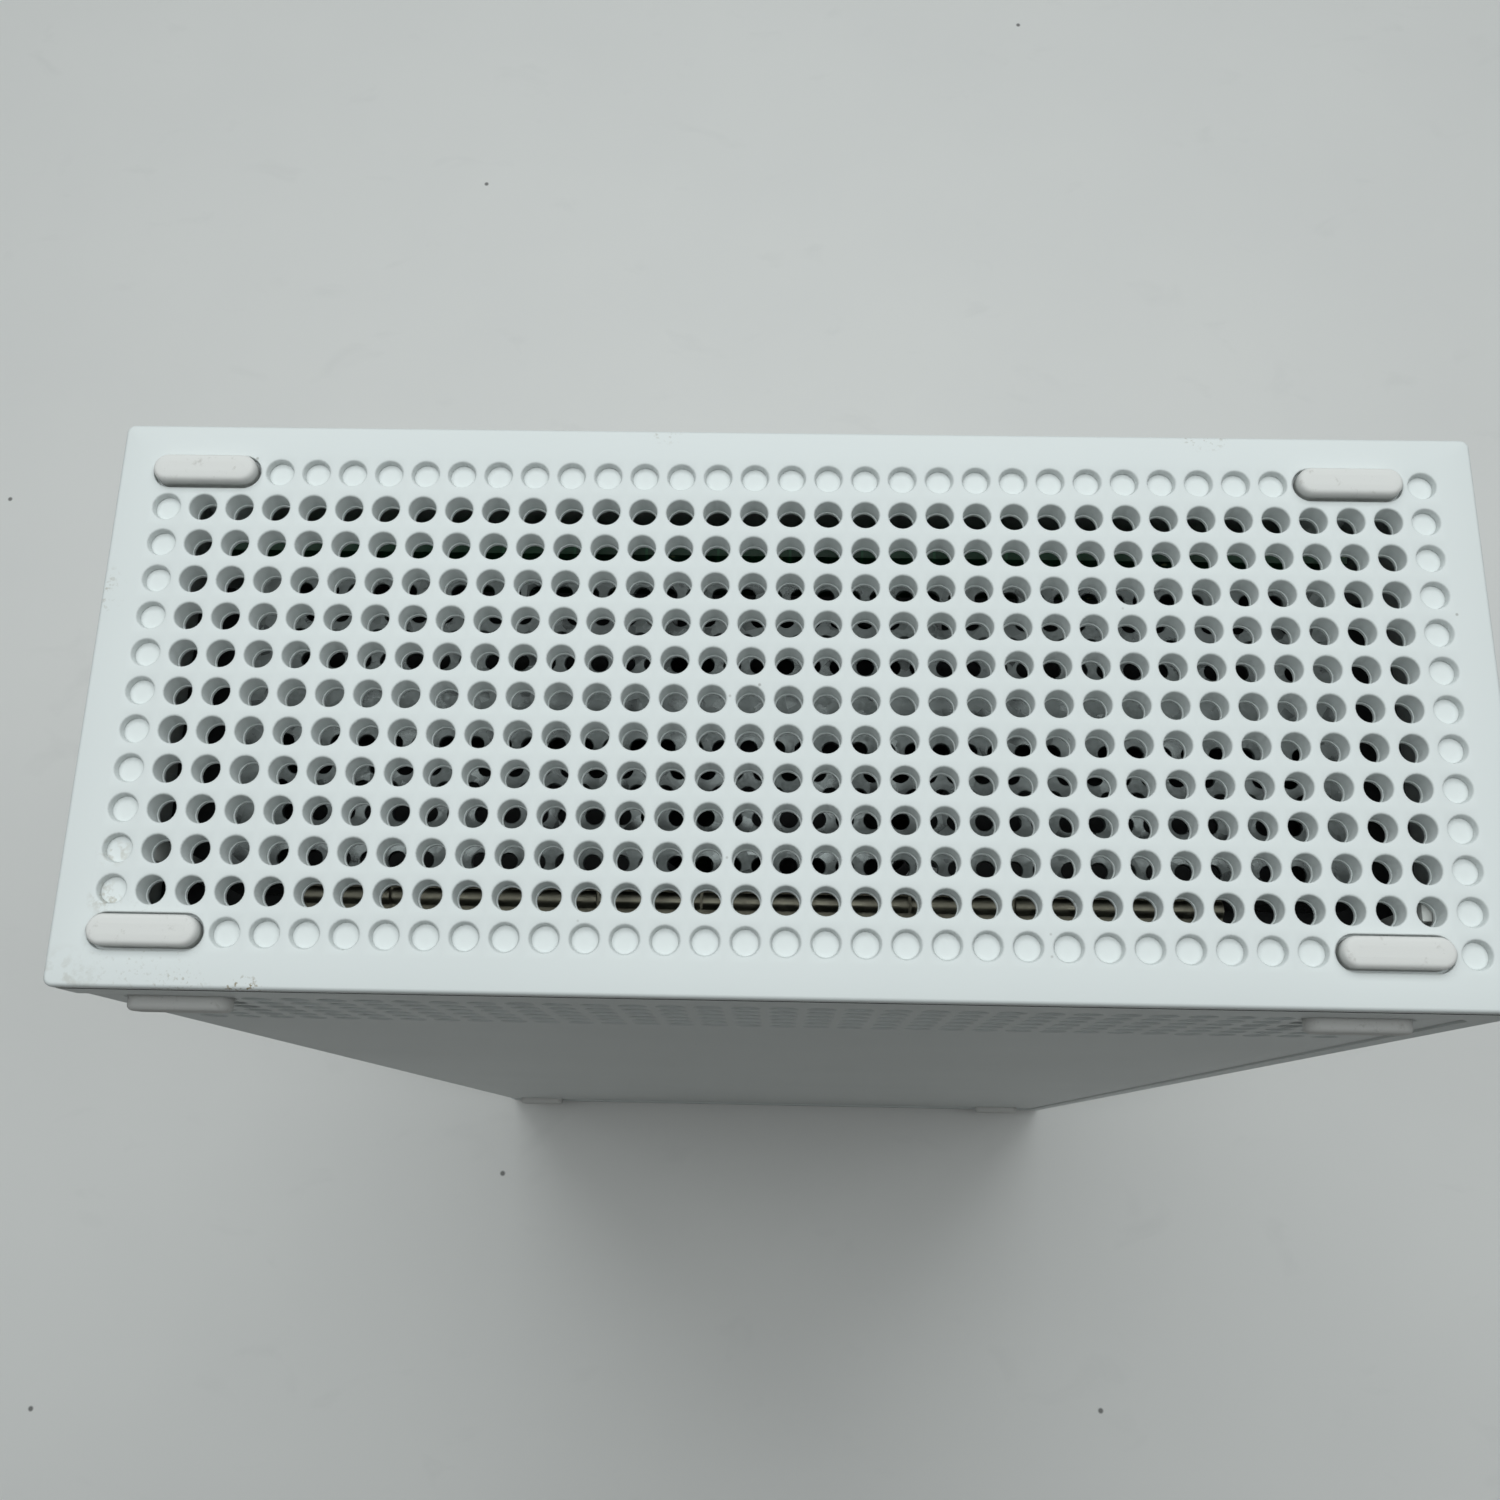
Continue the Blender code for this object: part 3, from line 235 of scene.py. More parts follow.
class Skin:
    """Points and faces of one mesh, gathered in case millimetres."""

    def __init__(self) -> None:
        """Start with nothing."""
        self.points: list[Point] = []
        self.faces: list[tuple[int, ...]] = []
        self.smooth: list[bool] = []
        self.slots: list[int] = []
        self.shared: dict[tuple[int, int, int], int] = {}

    def ring(self, points: Sequence[Point]) -> list[int]:
        """Add points of their own and return their indices."""
        start = len(self.points)
        self.points.extend(points)
        return list(range(start, len(self.points)))

    def joined(self, points: Sequence[Point]) -> list[int]:
        """Add points that neighbouring patches share.

        Args:
            points: The points, which reuse an index where one is already there.

        Returns:
            Their indices.
        """
        found = []
        for point in points:
            key = tuple(round(c * 2000) for c in point)
            if key not in self.shared:
                self.shared[key] = len(self.points)
                self.points.append(point)
            found.append(self.shared[key])
        return found

    def face(self, corners: Sequence[int], smooth: bool = False, slot: int = 0) -> None:
        """Add one face."""
        self.faces.append(tuple(corners))
        self.smooth.append(smooth)
        self.slots.append(slot)

    def bridge(self, outer: Sequence[int], inner: Sequence[int], smooth: bool = False, slot: int = 0) -> None:
        """Join two closed rings of equal count by quads that face up when outer runs anticlockwise."""
        count = len(outer)
        for i in range(count):
            j = (i + 1) % count
            self.face((outer[i], outer[j], inner[j], inner[i]), smooth, slot)

    def stack(
        self, axis: Axis, levels: Sequence[tuple[Outline, float]], smooth: bool = True, slot: int = 0
    ) -> None:
        """Skin a row of outlines with equal counts into a closed body.

        Args:
            axis: Direction of the row.
            levels: Outline and level of each ring, in rising or falling order.
            smooth: Whether the sides shade smoothly.
            slot: Material slot of the faces.
        """
        rings = [self.ring([axis.place(*point, level) for point in outline]) for outline, level in levels]
        for lower, upper in zip(rings, rings[1:]):
            self.bridge(lower, upper, smooth, slot)
        self.face(rings[0][::-1], False, slot)
        self.face(rings[-1], False, slot)

    def block(self, low: Sequence[float], high: Sequence[float], slot: int = 0) -> None:
        """Add a rectangular block between two corners."""
        outline = rounded_box(low[:2], high[:2], (0, 0, 0, 0))
        self.stack(Axis.Z, [(outline, low[2]), (outline, high[2])], False, slot)

    def make(self, name: str, case: Case) -> bpy.types.Object:
        """Turn what was gathered into an object whose faces look out of its closed bodies.

        Args:
            name: Name of the piece.
            case: Frame that the points are measured in.

        Returns:
            The object, linked to the scene.
        """
        mesh = bpy.data.meshes.new(name)
        mesh.from_pydata([case.world(point) for point in self.points], [], self.faces)
        mesh.polygons.foreach_set("use_smooth", self.smooth)
        mesh.polygons.foreach_set("material_index", self.slots)
        work = bmesh.new()
        work.from_mesh(mesh)
        bmesh.ops.recalc_face_normals(work, faces=work.faces)
        work.to_mesh(mesh)
        work.free()
        mesh.update()
        thing = bpy.data.objects.new(name, mesh)
        bpy.context.scene.collection.objects.link(thing)
        return thing


def settle(thing: bpy.types.Object) -> None:
    """Apply an object's modifiers to its mesh."""
    graph = bpy.context.evaluated_depsgraph_get()
    mesh = bpy.data.meshes.new_from_object(thing.evaluated_get(graph))
    thing.modifiers.clear()
    old, thing.data = thing.data, mesh
    bpy.data.meshes.remove(old)


def carve(thing: bpy.types.Object, tool: bpy.types.Object, operation: str = "DIFFERENCE") -> None:
    """Combine an object with a tool, and remove the tool.

    Args:
        thing: Object that is changed.
        tool: Closed body that is used up.
        operation: DIFFERENCE, UNION or INTERSECT.
    """
    modifier = thing.modifiers.new("carve", "BOOLEAN")
    modifier.operation = operation
    modifier.solver = "EXACT"
    modifier.object = tool
    settle(thing)
    bpy.data.meshes.remove(tool.data)


def soften(thing: bpy.types.Object, width: float, segments: int = 3) -> None:
    """Round every edge of an object that turns by more than 40 degrees.

    Args:
        thing: Object that is changed.
        width: Radius of the edges, in millimetres.
        segments: Steps over each edge.
    """
    modifier = thing.modifiers.new("soften", "BEVEL")
    modifier.width = width * MM
    modifier.segments = segments
    modifier.limit_method = "ANGLE"
    modifier.angle_limit = math.radians(40)
    modifier.use_clamp_overlap = True
    settle(thing)


def shade(thing: bpy.types.Object) -> None:
    """Shade flat the faces that look along an axis, and the rest smooth but for edges over 35 degrees."""
    for face in thing.data.polygons:
        face.use_smooth = max(abs(c) for c in face.normal) < 0.99999
    thing.data.set_sharp_from_angle(angle=math.radians(35))


# --------------------------------------------------------------------------- finishes


def add(
    tree: bpy.types.NodeTree, kind: str, inputs: dict[int | str, object] | None = None, **settings: object
) -> bpy.types.Node:
    """Add a shader node with its settings and links.

    Args:
        tree: Node tree to add to.
        kind: Blender's name for the node.
        inputs: Value of each input, or the output socket that feeds it.
        settings: Properties of the node.

    Returns:
        The node.
    """
    node = tree.nodes.new(kind)
    for key, value in settings.items():
        setattr(node, key, value)
    for key, value in (inputs or {}).items():
        if isinstance(value, bpy.types.NodeSocket):
            tree.links.new(value, node.inputs[key])
        else:
            node.inputs[key].default_value = value
    return node


@dataclass(frozen=True)
class Finish:
    """What a surface is made of. Each kind adds its own pattern to the shader."""

    name: str
    colour: str
    roughness: float = 0.5
    metallic: float = 0.0
    ior: float = 1.5

    def pattern(self, tree: bpy.types.NodeTree, shader: bpy.types.Node, place: bpy.types.NodeSocket) -> None:
        """Add the surface's colour, roughness and relief.

        Args:
            tree: Node tree of the material.
            shader: Its Principled shader.
            place: Position on the object, in millimetres.
        """

    def material(self) -> bpy.types.Material:
        """Make the material, or return the one that was made before.

        Returns:
            The material.
        """
        found = bpy.data.materials.get(self.name)
        if found:
            return found
        material = bpy.data.materials.new(self.name)
        material.use_nodes = True
        tree = material.node_tree
        shader = tree.nodes["Principled BSDF"]
        shader.inputs["Base Color"].default_value = linear(self.colour)
        shader.inputs["Roughness"].default_value = self.roughness
        shader.inputs["Metallic"].default_value = self.metallic
        if self.metallic < 0.5:
            shader.inputs["IOR"].default_value = self.ior
        where = add(tree, "ShaderNodeTexCoord")
        place = add(tree, "ShaderNodeVectorMath", {0: where.outputs["Object"], 3: 1 / MM}, operation="SCALE")
        self.pattern(tree, shader, place.outputs[0])
        return material


@dataclass(frozen=True)
class Mark:
    """A soiled patch: its place in millimetres from the shared origin, its reach and its strength."""

    place: Point
    reach: float
    strength: float
    fineness: float = 1.1
    cut: float = 0.5


@dataclass(frozen=True)
class MouldedAbs(Finish):
    """ABS from a spark-eroded mould: an even cool satin with a fine pebble, a few specks and faint soil."""

    clouds: str = "D5D9D8"
    cloud_size: float = 34.0
    grain: float = 0.38
    relief: float = 0.012
    speck_spacing: float = 3.0
    speck_colour: str = "6E675C"
    soil_colour: str = "857655"
    marks: tuple[Mark, ...] = ()

    def pattern(self, tree: bpy.types.NodeTree, shader: bpy.types.Node, place: bpy.types.NodeSocket) -> None:
        """Add pebble, cloudiness, dust specks and soiled patches. See Finish.pattern for the Args."""
        pebble = add(tree, "ShaderNodeTexNoise", {"Vector": place, "Scale": 1 / self.grain, "Detail": 2.5})
        clouds = add(
            tree, "ShaderNodeTexNoise", {"Vector": place, "Scale": 1 / self.cloud_size, "Detail": 3.0}
        )
        tint = add(
            tree,
            "ShaderNodeMix",
            {"Factor": clouds.outputs["Fac"], "A": linear(self.colour), "B": linear(self.clouds)},
            data_type="RGBA",
        )
        # Dust sits in single specks some 0.3 mm across, in one cell out of ten.
        cells = add(tree, "ShaderNodeTexVoronoi", {"Vector": place, "Scale": 1 / self.speck_spacing})
        chosen = add(tree, "ShaderNodeSeparateColor", {"Color": cells.outputs["Color"]})
        rare = add(tree, "ShaderNodeMath", {0: chosen.outputs[0], 1: 0.9}, operation="GREATER_THAN")
        away = cells.outputs["Distance"]
        near = add(
            tree,
            "ShaderNodeMapRange",
            {"Value": away, "From Min": 0.03, "From Max": 0.075, "To Min": 0.5, "To Max": 0.0},
        )
        speck = add(tree, "ShaderNodeMath", {0: rare.outputs[0], 1: near.outputs[0]}, operation="MULTIPLY")
        dusty = add(
            tree,
            "ShaderNodeMix",
            {"Factor": speck.outputs[0], "A": tint.outputs["Result"], "B": linear(self.speck_colour)},
            data_type="RGBA",
        )
        colour = dusty.outputs["Result"]
        for mark in self.marks:
            colour = self.soiled(tree, place, colour, mark)
        tree.links.new(colour, shader.inputs["Base Color"])
        low, high = self.roughness - 0.05, self.roughness + 0.06
        gloss = add(
            tree, "ShaderNodeMapRange", {"Value": clouds.outputs["Fac"], "To Min": low, "To Max": high}
        )
        tree.links.new(gloss.outputs[0], shader.inputs["Roughness"])
        bump = add(
            tree,
            "ShaderNodeBump",
            {"Height": pebble.outputs["Fac"], "Strength": 0.35, "Distance": self.relief * MM},
        )
        tree.links.new(bump.outputs[0], shader.inputs["Normal"])

    def soiled(
        self, tree: bpy.types.NodeTree, place: bpy.types.NodeSocket, colour: bpy.types.NodeSocket, mark: Mark
    ) -> bpy.types.NodeSocket:
        """Rub grime into one patch of the colour.

        Args:
            tree: Node tree of the material.
            place: Position on the object, in millimetres.
            colour: Colour before the grime.
            mark: The patch.

        Returns:
            Colour with the grime.
        """
        away = add(tree, "ShaderNodeVectorMath", {0: place, 1: mark.place}, operation="DISTANCE")
        fade = add(
            tree,
            "ShaderNodeMapRange",
            {"Value": away.outputs["Value"], "From Max": mark.reach, "To Min": mark.strength, "To Max": 0.0},
        )
        grit = add(tree, "ShaderNodeTexNoise", {"Vector": place, "Scale": 1 / mark.fineness, "Detail": 4.0})
        patchy = add(
            tree,
            "ShaderNodeMapRange",
            {"Value": grit.outputs["Fac"], "From Min": mark.cut, "From Max": mark.cut + 0.12},
        )
        amount = add(tree, "ShaderNodeMath", {0: fade.outputs[0], 1: patchy.outputs[0]}, operation="MULTIPLY")
        mixed = add(
            tree,
            "ShaderNodeMix",
            {"Factor": amount.outputs[0], "A": colour, "B": linear(self.soil_colour)},
            data_type="RGBA",
        )
        return mixed.outputs["Result"]


@dataclass(frozen=True)
class MouldedElastomer(Finish):
    """Thermoplastic elastomer from a matt mould: warmer and duller than the case, its scuffs holding grime."""

    grain: float = 0.25
    grime: str = "8C857B"

    def pattern(self, tree: bpy.types.NodeTree, shader: bpy.types.Node, place: bpy.types.NodeSocket) -> None:
        """Add grain, scuffs and grime. See Finish.pattern for the Args."""
        grain = add(tree, "ShaderNodeTexNoise", {"Vector": place, "Scale": 1 / self.grain, "Detail": 3.0})
        scuff = add(
            tree,
            "ShaderNodeTexNoise",
            {"Vector": place, "Scale": 0.9, "Detail": 5.0, "Roughness": 0.65},
        )
        marks = add(
            tree,
            "ShaderNodeMapRange",
            {"Value": scuff.outputs["Fac"], "From Min": 0.60, "From Max": 0.74, "To Max": 0.35},
        )
        tint = add(
            tree,
            "ShaderNodeMix",
            {"Factor": marks.outputs[0], "A": linear(self.colour), "B": linear(self.grime)},
            data_type="RGBA",
        )
        tree.links.new(tint.outputs["Result"], shader.inputs["Base Color"])
        bump = add(
            tree, "ShaderNodeBump", {"Height": grain.outputs["Fac"], "Strength": 0.4, "Distance": 0.01 * MM}
        )
        tree.links.new(bump.outputs[0], shader.inputs["Normal"])


@dataclass(frozen=True)
class SheetMetal(Finish):
    """Rolled or plated sheet: a soft sheen broken by crystal patches or rolling lines."""

    patch: float = 5.0
    contrast: float = 0.10
    stretch: Point = (1.0, 1.0, 1.0)

    def pattern(self, tree: bpy.types.NodeTree, shader: bpy.types.Node, place: bpy.types.NodeSocket) -> None:
        """Add patches and fine lines. See Finish.pattern for the Args."""
        spread = add(tree, "ShaderNodeVectorMath", {0: place, 1: self.stretch}, operation="MULTIPLY")
        patches = add(tree, "ShaderNodeTexVoronoi", {"Vector": spread.outputs[0], "Scale": 1 / self.patch})
        grey = add(tree, "ShaderNodeSeparateColor", {"Color": patches.outputs["Color"]})
        fine = add(tree, "ShaderNodeTexNoise", {"Vector": spread.outputs[0], "Scale": 2.4, "Detail": 4.0})
        mixed = add(
            tree, "ShaderNodeMath", {0: grey.outputs[0], 1: fine.outputs["Fac"]}, operation="MULTIPLY"
        )
        rough = add(
            tree,
            "ShaderNodeMapRange",
            {
                "Value": mixed.outputs[0],
                "From Max": 0.6,
                "To Min": self.roughness - self.contrast,
                "To Max": self.roughness + self.contrast,
            },
        )
        tree.links.new(rough.outputs[0], shader.inputs["Roughness"])
        value = add(
            tree,
            "ShaderNodeMapRange",
            {"Value": grey.outputs[0], "To Min": 1 - self.contrast * 1.5, "To Max": 1 + self.contrast},
        )
        bright = add(
            tree, "ShaderNodeHueSaturation", {"Color": linear(self.colour), "Value": value.outputs[0]}
        )
        tree.links.new(bright.outputs[0], shader.inputs["Base Color"])
        bump = add(
            tree, "ShaderNodeBump", {"Height": fine.outputs["Fac"], "Strength": 0.3, "Distance": 0.02 * MM}
        )
        tree.links.new(bump.outputs[0], shader.inputs["Normal"])


@dataclass(frozen=True)
class MouldedDark(Finish):
    """Dark moulded plastic: matt, its pebble caught only by glancing light."""

    grain: float = 0.3

    def pattern(self, tree: bpy.types.NodeTree, shader: bpy.types.Node, place: bpy.types.NodeSocket) -> None:
        """Add pebble and a slight bloom. See Finish.pattern for the Args."""
        pebble = add(tree, "ShaderNodeTexNoise", {"Vector": place, "Scale": 1 / self.grain, "Detail": 3.0})
        bloom = add(tree, "ShaderNodeTexNoise", {"Vector": place, "Scale": 0.12, "Detail": 4.0})
        gloss = add(
            tree,
            "ShaderNodeMapRange",
            {"Value": bloom.outputs["Fac"], "To Min": self.roughness - 0.08, "To Max": self.roughness + 0.1},
        )
        tree.links.new(gloss.outputs[0], shader.inputs["Roughness"])
        bump = add(
            tree, "ShaderNodeBump", {"Height": pebble.outputs["Fac"], "Strength": 0.4, "Distance": 0.02 * MM}
        )
        tree.links.new(bump.outputs[0], shader.inputs["Normal"])


@dataclass(frozen=True)
class SolderMask(Finish):
    """Epoxy glass board under green solder mask: glossy, with paler tracks showing through."""

    track: float = 2.6

    def pattern(self, tree: bpy.types.NodeTree, shader: bpy.types.Node, place: bpy.types.NodeSocket) -> None:
        """Add tracks and via dots. See Finish.pattern for the Args."""
        tracks = add(
            tree,
            "ShaderNodeTexBrick",
            {
                "Vector": place,
                "Color1": linear("0E3B22"),
                "Color2": linear("14492B"),
                "Mortar": linear("1D5B38"),
                "Scale": 1 / self.track,
                "Mortar Size": 0.06,
                "Brick Width": 3.2,
                "Row Height": 0.7,
            },
        )
        vias = add(tree, "ShaderNodeTexVoronoi", {"Vector": place, "Scale": 1 / 3.1})
        dot = add(tree, "ShaderNodeMath", {0: vias.outputs["Distance"], 1: 0.12}, operation="LESS_THAN")
        tint = add(
            tree,
            "ShaderNodeMix",
            {"Factor": dot.outputs[0], "A": tracks.outputs["Color"], "B": linear("8A8D6A")},
            data_type="RGBA",
        )
        tree.links.new(tint.outputs["Result"], shader.inputs["Base Color"])
        bump = add(
            tree, "ShaderNodeBump", {"Height": tracks.outputs["Fac"], "Strength": 0.5, "Distance": 0.03 * MM}
        )
        tree.links.new(bump.outputs[0], shader.inputs["Normal"])


@dataclass(frozen=True)
class ClearAcrylic(Finish):
    """Polished acrylic: clear, with a hard bright gloss."""

    def pattern(self, tree: bpy.types.NodeTree, shader: bpy.types.Node, place: bpy.types.NodeSocket) -> None:
        """Let light through and wave the gloss a little. See Finish.pattern for the Args."""
        shader.inputs["Transmission Weight"].default_value = 0.7
        wave = add(tree, "ShaderNodeTexNoise", {"Vector": place, "Scale": 0.8, "Detail": 1.0})
        bump = add(
            tree, "ShaderNodeBump", {"Height": wave.outputs["Fac"], "Strength": 0.2, "Distance": 0.02 * MM}
        )
        tree.links.new(bump.outputs[0], shader.inputs["Normal"])


@dataclass(frozen=True)
class DeskLaminate(Finish):
    """Pale melamine board: matt, with faint clouds, a few crumbs and rubbed smudges."""

    clouds: str = "E4E3E1"
    crumb_colour: str = "4B4A48"
    crumb_spacing: float = 150.0
    smudge_colour: str = "BDBEBC"
    smudge_size: float = 26.0

    def pattern(self, tree: bpy.types.NodeTree, shader: bpy.types.Node, place: bpy.types.NodeSocket) -> None:
        """Add clouds, crumbs and smudges. See Finish.pattern for the Args."""
        clouds = add(tree, "ShaderNodeTexNoise", {"Vector": place, "Scale": 1 / 60.0, "Detail": 5.0})
        tint = add(
            tree,
            "ShaderNodeMix",
            {"Factor": clouds.outputs["Fac"], "A": linear(self.colour), "B": linear(self.clouds)},
            data_type="RGBA",
        )
        # Crumbs about a millimetre across lie a hand's width apart.
        cells = add(
            tree,
            "ShaderNodeTexVoronoi",
            {"Vector": place, "Scale": 1 / self.crumb_spacing},
            voronoi_dimensions="2D",
        )
        away = cells.outputs["Distance"]
        near = add(
            tree,
            "ShaderNodeMapRange",
            {"Value": away, "From Min": 0.003, "From Max": 0.006, "To Min": 0.8, "To Max": 0.0},
        )
        streak = add(tree, "ShaderNodeVectorMath", {0: place, 1: (1.0, 1.6, 1.0)}, operation="MULTIPLY")
        rubbed = add(
            tree,
            "ShaderNodeTexNoise",
            {"Vector": streak.outputs[0], "Scale": 1 / self.smudge_size, "Detail": 6.0, "Distortion": 0.6},
        )
        smudge = add(
            tree,
            "ShaderNodeMapRange",
            {"Value": rubbed.outputs["Fac"], "From Min": 0.62, "From Max": 0.78, "To Max": 0.14},
        )
        worn = add(
            tree,
            "ShaderNodeMix",
            {"Factor": smudge.outputs[0], "A": tint.outputs["Result"], "B": linear(self.smudge_colour)},
            data_type="RGBA",
        )
        dusty = add(
            tree,
            "ShaderNodeMix",
            {"Factor": near.outputs[0], "A": worn.outputs["Result"], "B": linear(self.crumb_colour)},
            data_type="RGBA",
        )
        tree.links.new(dusty.outputs["Result"], shader.inputs["Base Color"])
        grain = add(tree, "ShaderNodeTexNoise", {"Vector": place, "Scale": 2.0, "Detail": 2.0})
        bump = add(
            tree, "ShaderNodeBump", {"Height": grain.outputs["Fac"], "Strength": 0.15, "Distance": 0.02 * MM}
        )
        tree.links.new(bump.outputs[0], shader.inputs["Normal"])


WHITE_ABS = MouldedAbs("white_moulded_abs", "DADEDD", roughness=0.50, ior=1.54)
# Painted shade: dark grey ABS on the walls and floors of the feet's recesses in the lid and the plain end.
RECESS_PAINTED_SHADE = MouldedAbs("recess_abs_painted_shade", "5B5A55", roughness=0.66, ior=1.54, clouds="53524D")
# Painted shade: grey ABS on the walls of the lid's holes, darker than the face.
BORE_PAINTED_SHADE = MouldedAbs(
    "bore_abs_painted_shade", "8F9594", roughness=0.6, ior=1.54, clouds="878D8C", grain=0.2, relief=0.03
)
# Painted shade: dark grey ABS in the wide cover's dimples and its feet's recesses.
DIMPLE_PAINTED_SHADE = MouldedAbs("dimple_abs_painted_shade", "5E5F5C", roughness=0.66, ior=1.54, clouds="595A57")
# Painted shade: near-black on the inside of the shell and cover, the shell's top rim and the lid's plug.
INSIDE_PAINTED_SHADE = MouldedDark("inside_painted_shade", "151616", roughness=0.6)
# Grime and painted shade: darker elastomer on the feet's straight sides, down in their recesses.
FOOT_GRIME_AND_SHADE = MouldedElastomer("elastomer_grime_and_painted_shade", "8D8A84", roughness=0.85, ior=1.50, grime="5F5A52")
LID_ABS = replace(
    WHITE_ABS,
    name="white_moulded_abs_soiled_edge",
    marks=(
        Mark((-54.7, -32.5, 281.0), 3.1, 3.6, 0.5, 0.53),
        Mark((-61.5, -32.7, 281.0), 4.2, 1.2, 0.4, 0.56),
        Mark((-73.5, -31.0, 281.0), 4.5, 0.3, 1.2, 0.48),
        Mark((-70.2, -21.9, 280.4), 2.2, 0.75, 0.8, 0.5),
        Mark((-70.0, -17.0, 280.4), 2.2, 0.45, 0.8, 0.5),
        Mark((-66.0, -27.9, 281.2), 7.5, 0.3, 0.5, 0.6),
        Mark((46.0, 33.6, 281.0), 3.4, 1.6, 0.5, 0.54),
        Mark((-14.0, 33.6, 281.0), 3.2, 1.0, 0.5, 0.56),
        Mark((-76.6, 12.0, 281.0), 4.0, 0.7, 0.6, 0.55),
    ),
)
FOOT_TPE = MouldedElastomer("warm_white_elastomer", "DAD9D6", roughness=0.78, ior=1.50)
GALVANISED = SheetMetal("galvanised_sheet", "858A89", roughness=0.42, metallic=1.0, patch=1.6, contrast=0.2)
GASKET = SheetMetal("bronze_coloured_gasket", "8F8B7C", roughness=0.4, metallic=1.0, patch=2.2, contrast=0.12)
NICKEL = SheetMetal("nickel_plated_sheet", "C9C6BF", roughness=0.28, metallic=1.0, patch=3.0, contrast=0.06)
ALUMINIUM = SheetMetal("extruded_aluminium", "C8CACB", roughness=0.35, metallic=1.0, stretch=(1, 1, 0.05))
STEEL = SheetMetal("zinc_plated_steel", "A9AAAB", roughness=0.30, metallic=1.0, patch=1.5, contrast=0.06)
CLIP_NYLON = MouldedAbs("white_moulded_nylon", "EDEEEA", roughness=0.4, ior=1.53, clouds="E6E7E2")
GOLD = SheetMetal("gold_plated_contact", "D9B25E", roughness=0.22, metallic=1.0, patch=0.8, contrast=0.05)
DARK_PANEL = MouldedDark("dark_moulded_polycarbonate", "3A3B3D", roughness=0.50)
SOCKET_NYLON = MouldedDark("black_moulded_nylon", "26272A", roughness=0.45)
FAN_PBT = MouldedDark("black_moulded_polyester", "1C1D1F", roughness=0.50)
EPOXY = MouldedDark("moulded_chip_epoxy", "232427", roughness=0.42, grain=0.15)
SILICONE = MouldedDark("grey_silicone_pad", "8C919A", roughness=0.9, grain=0.5)
# Painted shade: near-black baffle, so that the holes show the dark of the deep cavity under the shield.
BAFFLE_PAINTED_SHADE = MouldedDark("baffle_sheet_painted_shade", "17181A", roughness=0.5)
BUTTON_ABS = MouldedAbs("satin_button_abs", "E3E7E8", roughness=0.38, ior=1.54, relief=0.006)
BOARD = SolderMask("green_solder_mask", "14492B", roughness=0.35, ior=1.55)
ACRYLIC = ClearAcrylic("clear_polished_acrylic", "E8EDEF", roughness=0.08, ior=1.49)
DESK = DeskLaminate("pale_desk_laminate", "EAE9E6", roughness=0.62, ior=1.48)


def dress(thing: bpy.types.Object, *finishes: Finish) -> None:
    """Give an object its finishes, one for each material slot."""
    thing.data.materials.clear()
    for finish in finishes:
        thing.data.materials.append(finish.material())


def settle_in(thing: bpy.types.Object, slot: str, *replaced: str, body: str = "case") -> None:
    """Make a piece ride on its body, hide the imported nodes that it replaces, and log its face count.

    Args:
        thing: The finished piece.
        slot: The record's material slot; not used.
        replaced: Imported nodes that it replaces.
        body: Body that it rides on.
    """
    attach(thing, body)
    if replaced:
        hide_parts(*replaced)
    log.info("%s: %d faces on %s", thing.name, len(thing.data.polygons), body)


# --------------------------------------------------------------------------- vented end


@dataclass(frozen=True)
class VentGrid:
    """The regular grid of vents on the vented end, counted from the socket side and the wide cover."""

    columns: int = 35
    rows: int = 13
    column_pitch: float = 4.1
    row_pitch: float = 4.32
    hole_radius: float = 1.525
    foot_columns: int = 3

    def x(self, column: float) -> float:
        """X of a column."""
        return (column - (self.columns - 1) / 2) * self.column_pitch

    def y(self, row: float) -> float:
        """Y of a row."""
        return (row - (self.rows - 1) / 2) * self.row_pitch

    def open(self, column: int, row: int) -> bool:
        """Whether the hole there goes right through."""
        return 0 < column < self.columns - 1 and 0 < row < self.rows - 1

    def foot_starts(self) -> tuple[int, int]:
        """First column under the left and the right foot."""
        return 0, self.columns - 1 - self.foot_columns

    def under_foot(self, column: int, row: int) -> bool:
        """Whether a foot covers the place."""
        spans = (range(start, start + self.foot_columns) for start in self.foot_starts())
        return row in (0, self.rows - 1) and any(column in span for span in spans)


class LidSurface(IntEnum):
    """Material slots of the lid."""

    OUTSIDE = 0
    # Walls and floors of the feet's recesses: painted shade.
    RECESS = 1
    # Sides of the plug, inside the shell: painted shade.
    PLUG = 2
    # Walls of the holes: painted shade.
    BORE = 3


